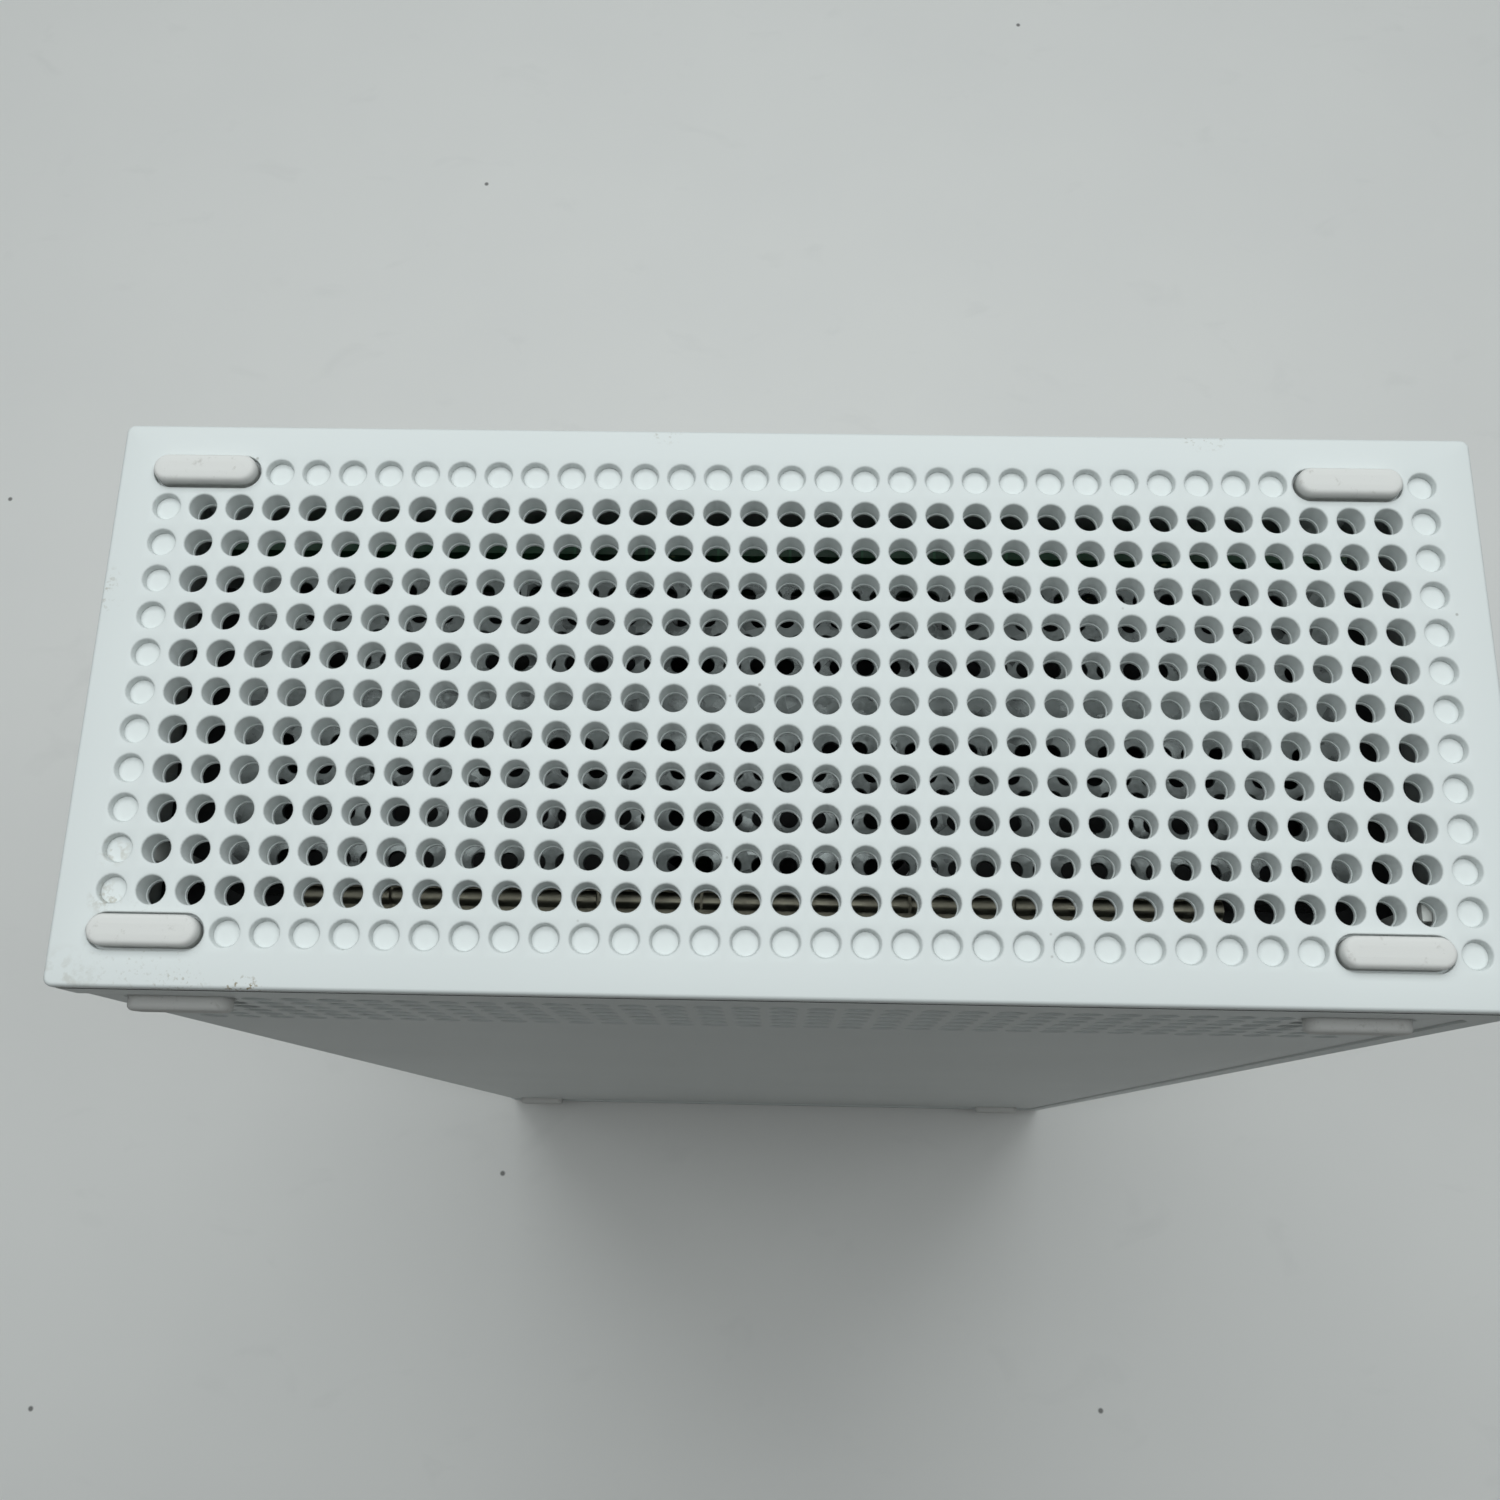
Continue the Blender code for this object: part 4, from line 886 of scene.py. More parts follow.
@dataclass
class VentLid:
    """Vented lid: open holes, a border of blind ones, recesses for the feet and rounded edges."""

    case: Case
    grid: VentGrid
    steps: int = 6
    corner: int = 3
    corner_radius: float = 1.0
    edge: float = 0.45
    rim_edge: float = 0.22
    recess_edge: float = 0.12
    seam_edge: float = 0.28
    blind_depth: float = 0.8
    blind_fillet: float = 0.16
    lip: float = 0.11
    lip_height: float = 0.4
    rim_height: float = 1.35
    plug_radius: float = 0.6
    thickness: float = 3.0
    wall: float = 2.4
    gap: float = 0.3
    foot_width: float = 3.3
    foot_sink: float = 1.0

    def cell(self, column: int, row: int, wide: int = 1) -> Outline:
        """Outline of a place in the grid, several columns wide if asked, with its side points."""
        g = self.grid
        low, high = (g.x(column - 0.5), g.y(row - 0.5)), (g.x(column + wide - 0.5), g.y(row + 0.5))
        return self.stepped_box(low, high, self.steps * wide, self.steps)

    def stepped_box(self, low: Place, high: Place, across: int, up: int) -> Outline:
        """Rectangle with points along its sides.

        Args:
            low: Lower left corner.
            high: Upper right corner.
            across: Steps along the lower and the upper side.
            up: Steps along the left and the right side.

        Returns:
            The outline, anticlockwise from the lower left corner.
        """
        width, depth = high[0] - low[0], high[1] - low[1]
        points = [(low[0] + width * i / across, low[1]) for i in range(across)]
        points += [(high[0], low[1] + depth * i / up) for i in range(up)]
        points += [(high[0] - width * i / across, high[1]) for i in range(across)]
        points += [(low[0], high[1] - depth * i / up) for i in range(up)]
        return points

    def rim(self, half_x: float, half_y: float, radius: float) -> Outline:
        """Rounded rectangle with as many points on each side as the grid has.

        Args:
            half_x: Half its width.
            half_y: Half its depth.
            radius: Radius of its corners.

        Returns:
            The outline, anticlockwise from the middle of its lower left corner.
        """
        points: Outline = []
        across, up = (g * self.steps for g in (self.grid.columns, self.grid.rows))
        sides = ((half_x, half_y, across), (half_y, half_x, up)) * 2
        for turn, (along, out, count) in enumerate(sides):
            row = arc((-along + radius, -out + radius), radius, 225, 45, self.corner)
            straight = count - 2 * self.corner
            span = 2 * (along - radius)
            row += [(-along + radius + span * i / straight, -out) for i in range(1, straight)]
            row += arc((along - radius, -out + radius), radius, 270, 45, self.corner)[:-1]
            points += quarter_turns(row, turn)
        return points

    def lay(self, skin: Skin, outline: Outline, level: float, shared: bool = False) -> list[int]:
        """Add an outline at a level and return its indices."""
        points = [(x, y, level) for x, y in outline]
        return skin.joined(points) if shared else skin.ring(points)

    def hole(self, skin: Skin, column: int, row: int) -> None:
        """Add a round place: open right through, or blind with a rounded floor."""
        g, top, under = self.grid, self.case.height, self.case.height - self.thickness
        centre = (g.x(column), g.y(row))
        sides = 4 * self.steps
        radius = g.hole_radius
        outline = self.cell(column, row)
        last = self.lay(skin, outline, top, True)
        below = self.lay(skin, outline, under, True)
        for index, (inset, drop) in enumerate(fillet(self.rim_edge, 3)):
            ring = self.lay(skin, circle(centre, radius + inset, sides), top - drop)
            skin.bridge(last, ring, index > 0)
            last = ring
        if g.open(column, row):
            shoulder, throat = under + self.lip_height, radius - self.lip
            # The walls above and below the lip take the painted shade; the lip stays plain ABS.
            turns = (
                (radius, shoulder, True, LidSurface.BORE),
                (throat, shoulder, False, LidSurface.OUTSIDE),
                (throat, under, True, LidSurface.BORE),
            )
            for ring_radius, level, smooth, slot in turns:
                ring = self.lay(skin, circle(centre, ring_radius, sides), level)
                skin.bridge(last, ring, smooth, slot)
                last = ring
            skin.bridge(last, below)
            return
        # The blind hole's wall takes the painted shade; its floor stays plain ABS.
        floor, slot = top - self.blind_depth, LidSurface.BORE
        for rise, inset in fillet(self.blind_fillet, 3):
            ring_radius = radius - self.blind_fillet + inset
            ring = self.lay(skin, circle(centre, ring_radius, sides), floor + rise)
            skin.bridge(last, ring, True, slot)
            last, slot = ring, LidSurface.OUTSIDE
        skin.face(last)
        skin.face(below[::-1])

    def recess(self, skin: Skin, column: int, row: int) -> None:
        """Add the recess of one foot, over three columns."""
        g, top = self.grid, self.case.height
        wide = g.foot_columns
        centre = (g.x(column + (wide - 1) / 2), g.y(row))
        length = (wide - 1) * g.column_pitch + self.foot_width
        outline = self.cell(column, row, wide)
        last = self.lay(skin, outline, top, True)
        below = self.lay(skin, outline, top - self.thickness, True)
        ends = 2 * self.steps
        sides = len(outline) // 2 - ends
        rim = [(self.gap + inset, top - drop) for inset, drop in fillet(self.recess_edge, 2)]
        for index, (margin, level) in enumerate([*rim, (self.gap, top - self.foot_sink)]):
            shape = stadium(centre, length + 2 * margin, self.foot_width + 2 * margin, ends, sides)
            ring = self.lay(skin, shape, level)
            # Below its rounded rim the recess takes the painted shade.
            slot = LidSurface.OUTSIDE if index < len(rim) else LidSurface.RECESS
            skin.bridge(last, ring, index > 0, slot)
            last = ring
        skin.face(last, slot=LidSurface.RECESS)
        skin.face(below[::-1])

    def border(self, skin: Skin) -> None:
        """Add the plain border, the rounded edges and the plug that drops into the shell."""
        case, g, top = self.case, self.grid, self.case.height
        under, step = top - self.thickness, top - self.rim_height
        half_x, half_y = g.columns * g.column_pitch / 2, g.rows * g.row_pitch / 2
        across, up = g.columns * self.steps, g.rows * self.steps
        grid_rim = self.stepped_box((-half_x, -half_y), (half_x, half_y), across, up)
        upper = [(inset, top - drop) for inset, drop in fillet(self.edge, 4)]
        lower = [(inset, step + rise) for inset, rise in reversed(fillet(self.seam_edge, 2))]
        last = self.lay(skin, grid_rim, top, True)
        for index, (inset, level) in enumerate(upper + lower):
            shape = self.rim(case.half_x - inset, case.half_y - inset, self.corner_radius - inset)
            ring = self.lay(skin, shape, level)
            skin.bridge(ring, last, index > 0)
            last = ring
        plug_x, plug_y = case.half_x - self.wall - self.gap, case.half_y - self.wall - self.gap
        # The plug's sides take the near-black painted shade.
        for level in (step, under):
            ring = self.lay(skin, self.rim(plug_x, plug_y, self.plug_radius), level)
            skin.bridge(ring, last, slot=LidSurface.PLUG)
            last = ring
        skin.bridge(self.lay(skin, grid_rim, under, True), last)

    def make(self) -> bpy.types.Object:
        """Build the lid.

        Returns:
            The finished piece.
        """
        skin = Skin()
        g = self.grid
        for column in range(g.columns):
            for row in range(g.rows):
                if not g.under_foot(column, row):
                    self.hole(skin, column, row)
        for row in (0, g.rows - 1):
            for column in g.foot_starts():
                self.recess(skin, column, row)
        self.border(skin)
        lid = skin.make("lid_vented", self.case)
        lid.data.set_sharp_from_angle(angle=math.radians(50))
        dress(lid, LID_ABS, RECESS_PAINTED_SHADE, INSIDE_PAINTED_SHADE, BORE_PAINTED_SHADE)
        settle_in(lid, "white_shell", "vent_lid")
        return lid


# --------------------------------------------------------------------------- shell and cover


class ShellSurface(IntEnum):
    """Material slots of the shell and the cover."""

    OUTSIDE = 0
    # Dimples and feet's recesses: painted shade.
    SUNK = 1
    # Inside of the shell and cover: painted shade.
    INSIDE = 2


@dataclass
class Shell:
    """Main shell and wide cover, with their rounded edges, seams, dimples and openings."""

    case: Case
    grid: VentGrid
    wall: float = 2.4
    gap: float = 0.3
    corner_radius: float = 1.0
    end_border: float = 6.3
    side_border: float = 3.6
    cover_radius: float = 3.0
    cover_inset: float = 0.25
    edge: float = 0.25
    shell_edge: float = 0.14
    hole_edge: float = 0.3
    side_holes: tuple[tuple[str, float], ...] = (
        ("power_button", 6.35),
        ("pairing_button", 3.55),
        ("light_pipe", 1.95),
    )
    dimple_rows: int = 6
    dimple_first: float = 11.4
    dimple_pitch: float = 4.1
    dimple_depth: float = 0.9
    dimple_rim: float = 0.15
    dimple_floor_edge: float = 0.25
    foot_sink: float = 1.0
    foot_width: float = 3.3
    slots: int = 6
    slot_first: float = 16.1
    slot_pitch: float = 5.0
    slot_size: tuple[float, float] = (42.0, 2.2)
    panel_corner: float = 1.2
    panel_flange: float = 1.5
    opening_edge: float = 0.2

    def tube(self, inset: float, low: float, high: float, slot: int = 0) -> Skin:
        """Upright block with rounded corners, a given distance inside the case."""
        half_x, half_y = self.case.half_x - inset, self.case.half_y - inset
        radius = max(self.corner_radius - inset, 0.4)
        shape = rounded_box((-half_x, -half_y), (half_x, half_y), [radius] * 4)
        skin = Skin()
        skin.stack(Axis.Z, [(shape, low), (shape, high)], slot=slot)
        return skin

    def windows(self, gap: float) -> list[Skin]:
        """Two prisms that fill the cover's openings in the wide side and in the socket side."""
        c, over = self.case, 1.0
        low, high = self.end_border + gap, c.height - self.end_border - gap
        radii = [0, self.cover_radius - gap, self.cover_radius - gap, 0]
        wide, side = Skin(), Skin()
        edge_x, edge_y = c.half_x - self.side_border - gap, c.half_y - self.side_border - gap
        shape = rounded_box((-c.half_x - over, low), (edge_x, high), radii)
        wide.stack(Axis.Y, [(shape, -c.half_y - over), (shape, -c.half_y + self.wall + 0.02)])
        shape = rounded_box((-c.half_y - over, low), (edge_y, high), radii)
        side.stack(Axis.X, [(shape, -c.half_x - over), (shape, -c.half_x + self.wall + 0.02)])
        return [wide, side]

    def foot_cutter(self, skin: Skin, axis: Axis, centre: Place, face: float) -> None:
        """Add the body that sinks a foot's recess into a face, towards the rising side of an axis."""
        length = (self.grid.foot_columns - 1) * self.grid.column_pitch + self.foot_width + 2 * self.gap
        width = self.foot_width + 2 * self.gap
        rim = self.dimple_rim
        wide = stadium(centre, length + 2 * rim, width + 2 * rim, 16, 2)
        sunk = stadium(centre, length, width, 16, 2)
        levels = [(wide, face - 1), (wide, face), (sunk, face + rim), (sunk, face + self.foot_sink)]
        # The recess's walls and floor take the painted shade of the slot SUNK.
        skin.stack(axis, levels, slot=ShellSurface.SUNK)

    def make_shell(self) -> bpy.types.Object:
        """Build the main shell.

        Returns:
            The finished piece.
        """
        case = self.case
        top = case.node("main_shell")[1].z
        shell = self.tube(0, 0, top).make("shell_moulded", case)
        finishes = (WHITE_ABS, RECESS_PAINTED_SHADE, INSIDE_PAINTED_SHADE)
        dress(shell, *finishes)
        tool = self.tube(self.wall, self.wall, top + 1, ShellSurface.INSIDE).make("tool", case)
        dress(tool, *finishes)
        carve(shell, tool)
        for window in self.windows(0):
            carve(shell, window.make("tool", case))
        soften(shell, self.shell_edge)
        # The shell's top rim, under the lid, takes the painted shade of the inside.
        for face in shell.data.polygons:
            if face.normal.z > 0.999 and abs(face.center.z - case.world((0, 0, top)).z) < 0.1 * MM:
                face.material_index = ShellSurface.INSIDE
        cuts = Skin()
        face, edge = case.half_x, self.hole_edge
        for name, radius in self.side_holes:
            middle = case.middle(name)
            hole = circle((middle.y, middle.z), radius, 48)
            wide = circle((middle.y, middle.z), radius + edge, 48)
            inner = face - self.wall - 1
            cuts.stack(Axis.X, [(hole, inner), (hole, face - edge), (wide, face), (wide, face + 1)])
        for number in range(1, 5):
            middle = case.middle(f"base_foot_{number}")
            self.foot_cutter(cuts, Axis.Z, (middle.x, middle.y), 0)
        tool = cuts.make("tool", case)
        dress(tool, *finishes)
        carve(shell, tool)
        self.add_posts(shell)
        shade(shell)
        settle_in(shell, "white_shell", "main_shell")
        return shell

    def add_posts(self, shell: bpy.types.Object) -> None:
        """Join the board's and the lid's screw posts to the shell."""
        case, posts = self.case, Skin()
        back, wall = case.node("main_board")[1].y + self.gap, case.half_y - self.wall + 0.2
        for number in range(1, 5):
            middle = case.middle(f"board_screw_{number}")
            centre = (middle.x, middle.z)
            posts.stack(Axis.Y, [(circle(centre, 3.2, 20), back), (circle(centre, 3.6, 20), wall)])
            middle = case.middle(f"lid_screw_{number}")
            centre, top = (middle.x, middle.y), case.height - 3.3
            posts.stack(Axis.Z, [(circle(centre, 2.5, 20), top - 9), (circle(centre, 2.5, 20), top)])
        carve(shell, posts.make("tool", case), "UNION")

    def dimples(self, skin: Skin) -> None:
        """Add the cutters of the cover's blind dimples."""
        g, case = self.grid, self.case
        face = -case.half_y + self.cover_inset
        floor = face + self.dimple_depth
        radius, rim, edge = g.hole_radius, self.dimple_rim, self.dimple_floor_edge
        first, last = g.foot_columns, g.columns - 1 - g.foot_columns
        for row in range(self.dimple_rows):
            height = case.height - self.dimple_first - row * self.dimple_pitch
            # The feet stand in the first row.
            for column in range(g.columns - 1) if row else range(first, last):
                centre = (g.x(column), height)
                levels = [
                    (circle(centre, radius + rim, 24), face - 1),
                    (circle(centre, radius + rim, 24), face),
                    (circle(centre, radius, 24), face + rim),
                    (circle(centre, radius, 24), floor - edge),
                    (circle(centre, radius - edge, 24), floor),
                ]
                # The dimples' walls and floors take the painted shade of the slot SUNK.
                skin.stack(Axis.Y, levels, slot=ShellSurface.SUNK)

    def make_cover(self) -> bpy.types.Object:
        """Build the wide cover, which wraps onto the socket side.

        Returns:
            The finished piece.
        """
        case = self.case
        cover = self.tube(self.cover_inset, 0, case.height).make("cover_moulded", case)
        finishes = (WHITE_ABS, DIMPLE_PAINTED_SHADE, INSIDE_PAINTED_SHADE)
        dress(cover, *finishes)
        tool = self.tube(self.wall, -1, case.height + 1, ShellSurface.INSIDE).make("tool", case)
        dress(tool, *finishes)
        carve(cover, tool)
        wide, side = (skin.make("tool", case) for skin in self.windows(self.gap))
        carve(wide, side, "UNION")
        carve(cover, wide, "INTERSECT")
        soften(cover, self.edge)
        cuts = Skin()
        self.dimples(cuts)
        for number in range(1, 5):
            middle = case.middle(f"side_foot_{number}")
            self.foot_cutter(cuts, Axis.Y, (middle.x, middle.z), -case.half_y + self.cover_inset)
        tool = cuts.make("tool", case)
        dress(tool, *finishes)
        carve(cover, tool)
        carve(cover, self.side_openings().make("tool", case))
        shade(cover)
        settle_in(cover, "white_shell", "wide_cover")
        return cover

    def side_openings(self) -> Skin:
        """Cutters of the panel's window and the exhaust slots in the socket side."""
        case, skin = self.case, Skin()
        low, high = case.node("socket_panel")
        hidden, flare = self.panel_flange - self.gap, self.opening_edge
        panel = []
        for wider in (flare, 0.0):
            inset = hidden - wider
            corners = (low.y + inset, low.z + inset), (high.y - inset, high.z - inset)
            panel.append(rounded_box(*corners, [self.panel_corner + wider] * 4))
        openings = [tuple(panel)]
        length, width = self.slot_size
        for index in range(self.slots):
            centre = (0, self.slot_first + self.slot_pitch * index)
            wide = stadium(centre, length + 2 * flare, width + 2 * flare, 12, 2)
            openings.append((wide, stadium(centre, length, width, 12, 2)))
        outer = -case.half_x + self.cover_inset
        for wide, narrow in openings:
            skin.stack(
                Axis.X, [(wide, outer - 1), (wide, outer), (narrow, outer + flare), (narrow, outer + 4)]
            )
        return skin


@dataclass
class Feet:
    """Elastomer feet: straight sides, softly rounded tops, a little crowned."""

    case: Case
    round_over: float = 0.6
    crown: float = 0.06
    sides: int = 24

    def foot(self, name: str, axis: Axis, towards: float) -> bpy.types.Object:
        """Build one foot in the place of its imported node.

        Args:
            name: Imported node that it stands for.
            axis: Axis that it points along.
            towards: 1 or -1, the way that it points along the axis.

        Returns:
            The finished piece.
        """
        low, high = self.case.node(name)
        middle, extent = (low + high) / 2, high - low
        centre, size, ends = (middle.x, middle.z), (extent.x, extent.z), (low.y, high.y)
        if axis is Axis.Z:
            centre, size, ends = (middle.x, middle.y), (extent.x, extent.y), (low.z, high.z)
        root, tip = ends if towards > 0 else ends[::-1]
        levels = [(stadium(centre, size[0], size[1], self.sides, 12), root)]
        for inset, drop in reversed(fillet(self.round_over, 6)):
            shape = stadium(centre, size[0] - 2 * inset, size[1] - 2 * inset, self.sides, 12)
            levels.append((shape, tip - towards * (drop + self.crown)))
        inner = self.round_over + 0.5
        levels.append((stadium(centre, size[0] - 2 * inner, size[1] - 2 * inner, self.sides, 12), tip))
        skin = Skin()
        skin.stack(axis, levels)
        # The straight sides take the grime and painted shade of slot 1.
        sides = len(levels[0][0])
        skin.slots[:sides] = [1] * sides
        piece = skin.make(f"{name}_moulded", self.case)
        dress(piece, FOOT_TPE, FOOT_GRIME_AND_SHADE)
        settle_in(piece, "foot_rubber", name)
        return piece

    def make(self) -> None:
        """Build the feet of the vented end, the plain end and the wide cover."""
        for number in range(1, 5):
            self.foot(f"end_foot_{number}", Axis.Z, 1)
            self.foot(f"base_foot_{number}", Axis.Z, -1)
            self.foot(f"side_foot_{number}", Axis.Y, -1)


# --------------------------------------------------------------------------- behind the vents


@dataclass(frozen=True)
class Bank:
    """One bank of staggered round holes: its pitches, the first hole's place and its count of rows."""

    pitch: float
    row_pitch: float
    first: Place
    rows: int

    def places(self, reach: float) -> list[Place]:
        """Middles of the holes that lie within a reach of the middle, on either side."""
        found = []
        for row in range(self.rows):
            start = self.first[0] + (self.pitch / 2 if row % 2 else 0.0)
            span = int(reach / self.pitch) + 1
            across = [start + self.pitch * i for i in range(-span, span + 1)]
            found += [(x, self.first[1] + self.row_pitch * row) for x in across if abs(x) <= reach]
        return found


@dataclass
class VentShield:
    """Perforated sheet behind the vents, the springy gasket along its front, and two bright clips."""

    case: Case
    radius: float = 0.97
    hole_edge: float = 0.09
    hole_sides: int = 18
    corner: float = 0.8
    sheet: float = 0.6
    reach: float = 58.0
    banks: tuple[Bank, ...] = (
        Bank(3.093, 2.682, (0.281, -16.05), 6),
        Bank(3.044, 2.829, (-0.358, 7.3), 4),
    )
    leg: float = 26.0
    gasket_span: tuple[float, float] = (-55.0, 48.0)
    gasket_width: float = 2.6
    finger: float = 11.0
    finger_gap: float = 0.15
    curl_radii: tuple[float, float] = (1.05, 0.9)
    clip_head: float = 4.0

    def make(self) -> None:
        """Build the perforated sheet with its flanges, the gasket and the clips."""
        case = self.case
        low, high = case.node("vent_shield")
        top = high.z
        plate, holes = Skin(), Skin()
        shape = rounded_box((low.x, low.y), (high.x, high.y), [self.corner] * 4)
        plate.stack(Axis.Z, [(shape, top - self.sheet), (shape, top)])
        for bank in self.banks:
            for centre in bank.places(self.reach):
                edge = self.hole_edge
                hole = circle(centre, self.radius, self.hole_sides)
                wide = circle(centre, self.radius + edge, self.hole_sides)
                holes.stack(
                    Axis.Z, [(hole, top - self.sheet - 1), (hole, top - edge), (wide, top), (wide, top + 1)]
                )
        sheet = plate.make("shield_perforated", case)
        carve(sheet, holes.make("tool", case))
        legs = Skin()
        for y0, y1 in ((low.y, low.y + self.sheet), (high.y - self.sheet, high.y)):
            for x0, x1 in ((low.x, low.x + self.leg), (high.x - self.leg, high.x)):
                legs.block((x0, y0, low.z), (x1, y1, top - 0.3))
        carve(sheet, legs.make("tool", case), "UNION")
        shade(sheet)
        dress(sheet, GALVANISED)
        settle_in(sheet, "galvanised", "vent_shield")
        self.gasket(low.y, top)
        self.clips(top)

    def gasket(self, front: float, top: float) -> None:
        """Add the row of curled spring fingers in front of the sheet.

        Args:
            front: Y of the sheet's front edge.
            top: Z of the sheet's top.
        """
        strip = Skin()
        start, end = self.gasket_span
        strip.block((start, front - self.gasket_width, top - 2.0), (end, front, top - 1.7))
        count = int((end - start) / self.finger)
        pitch = (end - start) / count
        middle = (front - self.gasket_width / 2, top - 1.5)
        outer, inner = self.curl_radii
        curl = arc(middle, outer, 150, -130, 8) + arc(middle, inner, 20, 130, 8)
        for index in range(count):
            left = start + index * pitch
            span = (left + self.finger_gap, left + pitch - self.finger_gap)
            strip.stack(Axis.X, [(curl, end_x) for end_x in span], False)
        piece = strip.make("gasket_fingers", self.case)
        shade(piece)
        dress(piece, GASKET)
        settle_in(piece, "galvanised")

    def clips(self, top: float) -> None:
        """Add the bright moulded clips near two corners, on dark stems that stand on the baffle."""
        skin = Skin()
        half_x = self.case.half_x
        left, right = (7.9 - half_x, -16.4), (half_x - 8.2, -21.0)
        level, foot = top + 6.5, self.case.node("fan_baffle")[1].z
        heads = (
            ((left[0] - 0.25, left[1] - 1.3), (left[0] + 0.25, left[1] + 1.3), level),
            ((right[0] - 1.2, right[1] - 1.0), (right[0] - 0.1, right[1] + 0.9), level),
            ((right[0] + 0.15, right[1] - 1.3), (right[0] + 0.8, right[1] + 0.2), level - 0.6),
        )
        for low, high, tip in heads:
            skin.block((*low, level - self.clip_head), (*high, tip))
            skin.block((*low, foot), (*high, level - self.clip_head), 1)
        piece = skin.make("corner_clips", self.case)
        soften(piece, 0.12, 2)
        shade(piece)
        dress(piece, CLIP_NYLON, SOCKET_NYLON)
        settle_in(piece, "white_shell")


# --------------------------------------------------------------------------- inside the sockets


@dataclass
class SocketDetails:
    """Gold contacts of the network sockets, tongue of the storage socket and pin of the power socket."""

    case: Case
    contact_pitch: float = 1.02
    contact_width: float = 0.42
    contact_thickness: float = 0.25
    contacts: int = 8
    ramp: float = 9.0
    rise: float = 2.6
    run: float = 12.0
    storage_pitch: float = 2.3
    storage_contacts: int = 4
    pin_radius: float = 0.95
    pin_tip_radius: float = 0.55

    def network(self, name: str) -> None:
        """Add the sprung contacts of one network socket."""
        low, high = self.case.node(name)
        middle = (low.z + high.z) / 2
        front, base = low.x + 1.6, low.y + 1.9
        wires = Skin()
        level, thick = base + self.rise, self.contact_thickness
        shape = [
            (front, base),
            (front + self.ramp, level),
            (front + self.run, level),
            (front + self.run, level + thick),
            (front + self.ramp - 0.1, level + thick),
            (front, base + thick),
        ]
        for index in range(self.contacts):
            centre = middle + (index - (self.contacts - 1) / 2) * self.contact_pitch
            ends = (centre - self.contact_width / 2, centre + self.contact_width / 2)
            wires.stack(Axis.Z, [(shape, ends[0]), (shape, ends[1])], False)
        piece = wires.make(f"{name}_contacts", self.case)
        dress(piece, GOLD)
        settle_in(piece, "nickel")

    def storage(self) -> None:
        """Add the tongue and four contacts of the storage socket."""
        low, high = self.case.node("usb_socket")
        middle = (low + high) / 2
        tongue = Skin()
        start, end = low.x + 1.4, high.x - 1.0
        tongue.block((start, middle.y + 0.3, middle.z - 5.0), (end, middle.y + 1.9, middle.z + 5.0))
        start, end = low.x + 1.8, high.x - 2.0
        for index in range(self.storage_contacts):
            centre = middle.z + (index - (self.storage_contacts - 1) / 2) * self.storage_pitch
            tongue.block((start, middle.y + 0.22, centre - 0.5), (end, middle.y + 0.32, centre + 0.5), 1)
        piece = tongue.make("usb_tongue", self.case)
        dress(piece, SOCKET_NYLON, GOLD)
        settle_in(piece, "socket_plastic")

    def power(self) -> None:
        """Add the centre pin of the power socket."""
        low, high = self.case.node("power_socket")
        middle = (low + high) / 2
        centre, start = (middle.y, middle.z), low.x + 1.8
        tip, shank = circle(centre, self.pin_tip_radius, 24), circle(centre, self.pin_radius, 24)
        pin = Skin()
        pin.stack(Axis.X, [(tip, start), (shank, start + 0.5), (shank, high.x - 1.0)])
        piece = pin.make("power_pin", self.case)
        dress(piece, NICKEL)
        settle_in(piece, "nickel")

    def make(self) -> None:
        """Build the details of every socket."""
        for name in ("wan_socket", "lan_socket_1", "lan_socket_2", "lan_socket_3", "lan_socket_4"):
            self.network(name)
        self.storage()
        self.power()


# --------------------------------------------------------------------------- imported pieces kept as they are


class Kept(Enum):
    """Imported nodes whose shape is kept, by the finish that they get."""

    BOARD = ("main_board",)
    EPOXY = ("processor", "power_switch", "pairing_switch", "reset_switch")
    SILICONE = ("thermal_pad",)
    ALUMINIUM = ("heat_sink",)
    NICKEL = ("radio_can_1", "radio_can_2", "antenna_1", "antenna_2", "antenna_3", "antenna_4", "usb_socket")
    BAFFLE = ("fan_baffle",)
    FAN = ("fan_frame", "fan_rotor", "reset_button")
    STEEL = tuple(f"{kind}_screw_{number}" for kind in ("lid", "board", "fan") for number in range(1, 5))
    SOCKET = ("wan_socket", "lan_socket_1", "lan_socket_2", "lan_socket_3", "lan_socket_4", "power_socket")
    PANEL = ("socket_panel",)
    BUTTON = ("power_button", "pairing_button")
    CLEAR = ("light_pipe", "status_light")


KEPT_FINISH: dict[Kept, Finish] = {
    Kept.BOARD: BOARD,
    Kept.EPOXY: EPOXY,
    Kept.SILICONE: SILICONE,
    Kept.ALUMINIUM: ALUMINIUM,
    Kept.NICKEL: NICKEL,
    # The baffle's near-black is painted shade under the shield.
    Kept.BAFFLE: BAFFLE_PAINTED_SHADE,
    Kept.FAN: FAN_PBT,
    Kept.STEEL: STEEL,
    Kept.SOCKET: SOCKET_NYLON,
    Kept.PANEL: DARK_PANEL,
    Kept.BUTTON: BUTTON_ABS,
    Kept.CLEAR: ACRYLIC,
}


def dress_kept() -> None:
    """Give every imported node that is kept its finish."""
    for kept, finish in KEPT_FINISH.items():
        for name in kept.value:
            thing = bpy.data.objects[name]
            for slot in thing.material_slots:
                slot.material = finish.material()
            log.info("%s: kept, in %s", name, finish.name)


# --------------------------------------------------------------------------- studio


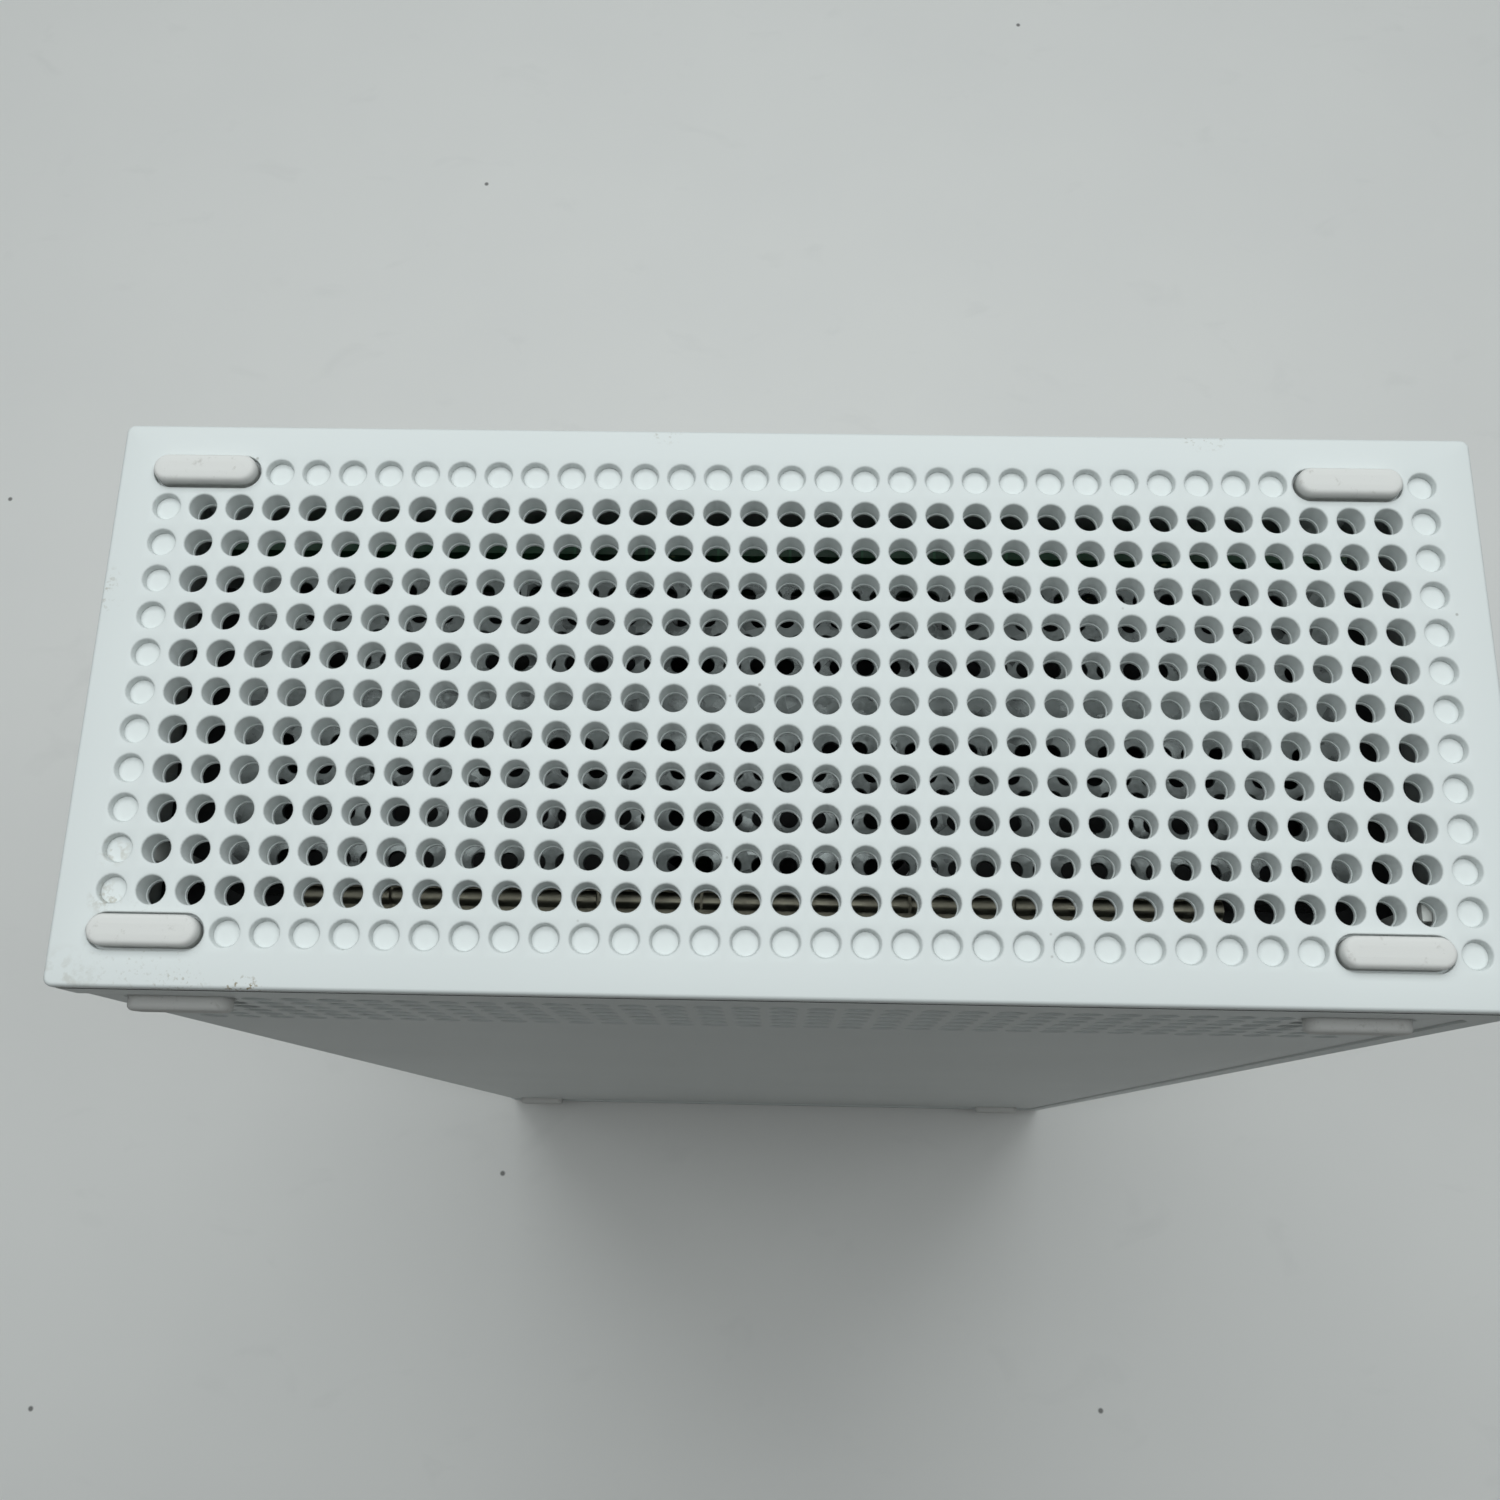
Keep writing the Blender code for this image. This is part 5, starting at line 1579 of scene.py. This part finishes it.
@dataclass(frozen=True)
class Panel:
    """A soft rectangular light hung over the desk; its places are in metres and its power in watts."""

    name: str
    place: Point
    size: tuple[float, float]
    power: float
    colour: str = "F4FBFC"
    aim: Point = (0.0, 0.0, 0.1)

    def hang(self) -> None:
        """Add the light to the scene, out of sight of the camera."""
        light = bpy.data.lights.new(self.name, "AREA")
        light.shape = "RECTANGLE"
        light.size, light.size_y = self.size
        light.energy = self.power
        light.color = linear(self.colour)[:3]
        lamp = bpy.data.objects.new(self.name, light)
        lamp.location = self.place
        lamp.rotation_euler = (Vector(self.aim) - Vector(self.place)).to_track_quat("-Z", "Y").to_euler()
        lamp.visible_camera = False
        bpy.context.scene.collection.objects.link(lamp)


@dataclass
class Studio:
    """Floor, soft lights and camera."""

    case: Case
    eye: Point = (-1.18, -47.33, 145.6)
    aim: Point = (-4.017, -5.63, 0.0)
    roll: float = -2.847
    lens: float = 34.47
    floor_size: float = 6.0
    panels: tuple[Panel, ...] = (
        Panel("over_panel", (0.0, 0.015, 1.0), (1.4, 0.4), 4.75),
        Panel("back_panel", (0.0, 0.6, 1.0), (1.4, 0.4), 5.8),
    )
    sky: float = 0.03
    sky_colour: str = "F3F4F1"

    def floor(self) -> None:
        """Lay the pale desk."""
        half = self.floor_size / 2
        corners = [(-half, -half, 0), (half, -half, 0), (half, half, 0), (-half, half, 0)]
        mesh = bpy.data.meshes.new("desk")
        mesh.from_pydata(corners, [], [(0, 1, 2, 3)])
        desk = bpy.data.objects.new("desk", mesh)
        bpy.context.scene.collection.objects.link(desk)
        dress(desk, DESK)

    def lights(self) -> None:
        """Hang the soft lights and set the dim room."""
        for panel in self.panels:
            panel.hang()
        world = bpy.data.worlds.new("room")
        world.use_nodes = True
        back = world.node_tree.nodes["Background"]
        back.inputs["Color"].default_value = linear(self.sky_colour)
        back.inputs["Strength"].default_value = self.sky
        bpy.context.scene.world = world

    def camera(self) -> None:
        """Set the camera above the vented end, looking steeply down."""
        data = bpy.data.cameras.new("camera")
        data.sensor_width = 36.0
        data.lens = self.lens
        data.clip_start = 0.01
        top = self.case.world((0, 0, self.case.height))
        eye, aim = top + Vector(self.eye) * MM, top + Vector(self.aim) * MM
        camera = bpy.data.objects.new("camera", data)
        camera.location = eye
        look = (aim - eye).to_track_quat("-Z", "Y")
        spin = Matrix.Rotation(math.radians(self.roll), 4, "Z").to_quaternion()
        camera.rotation_mode = "QUATERNION"
        camera.rotation_quaternion = look @ spin
        bpy.context.scene.collection.objects.link(camera)
        bpy.context.scene.camera = camera

    def make(self) -> None:
        """Set the whole studio."""
        self.floor()
        self.lights()
        self.camera()
        bpy.context.scene.view_settings.view_transform = "Standard"


def main() -> None:
    """Build every piece in order."""
    logging.basicConfig(level=logging.INFO, format="%(message)s")
    case = Case.measure()
    grid = VentGrid()
    Studio(case).make()
    VentLid(case, grid).make()
    shell = Shell(case, grid)
    shell.make_shell()
    shell.make_cover()
    Feet(case).make()
    VentShield(case).make()
    SocketDetails(case).make()
    dress_kept()


if __name__ == "__main__":
    main()
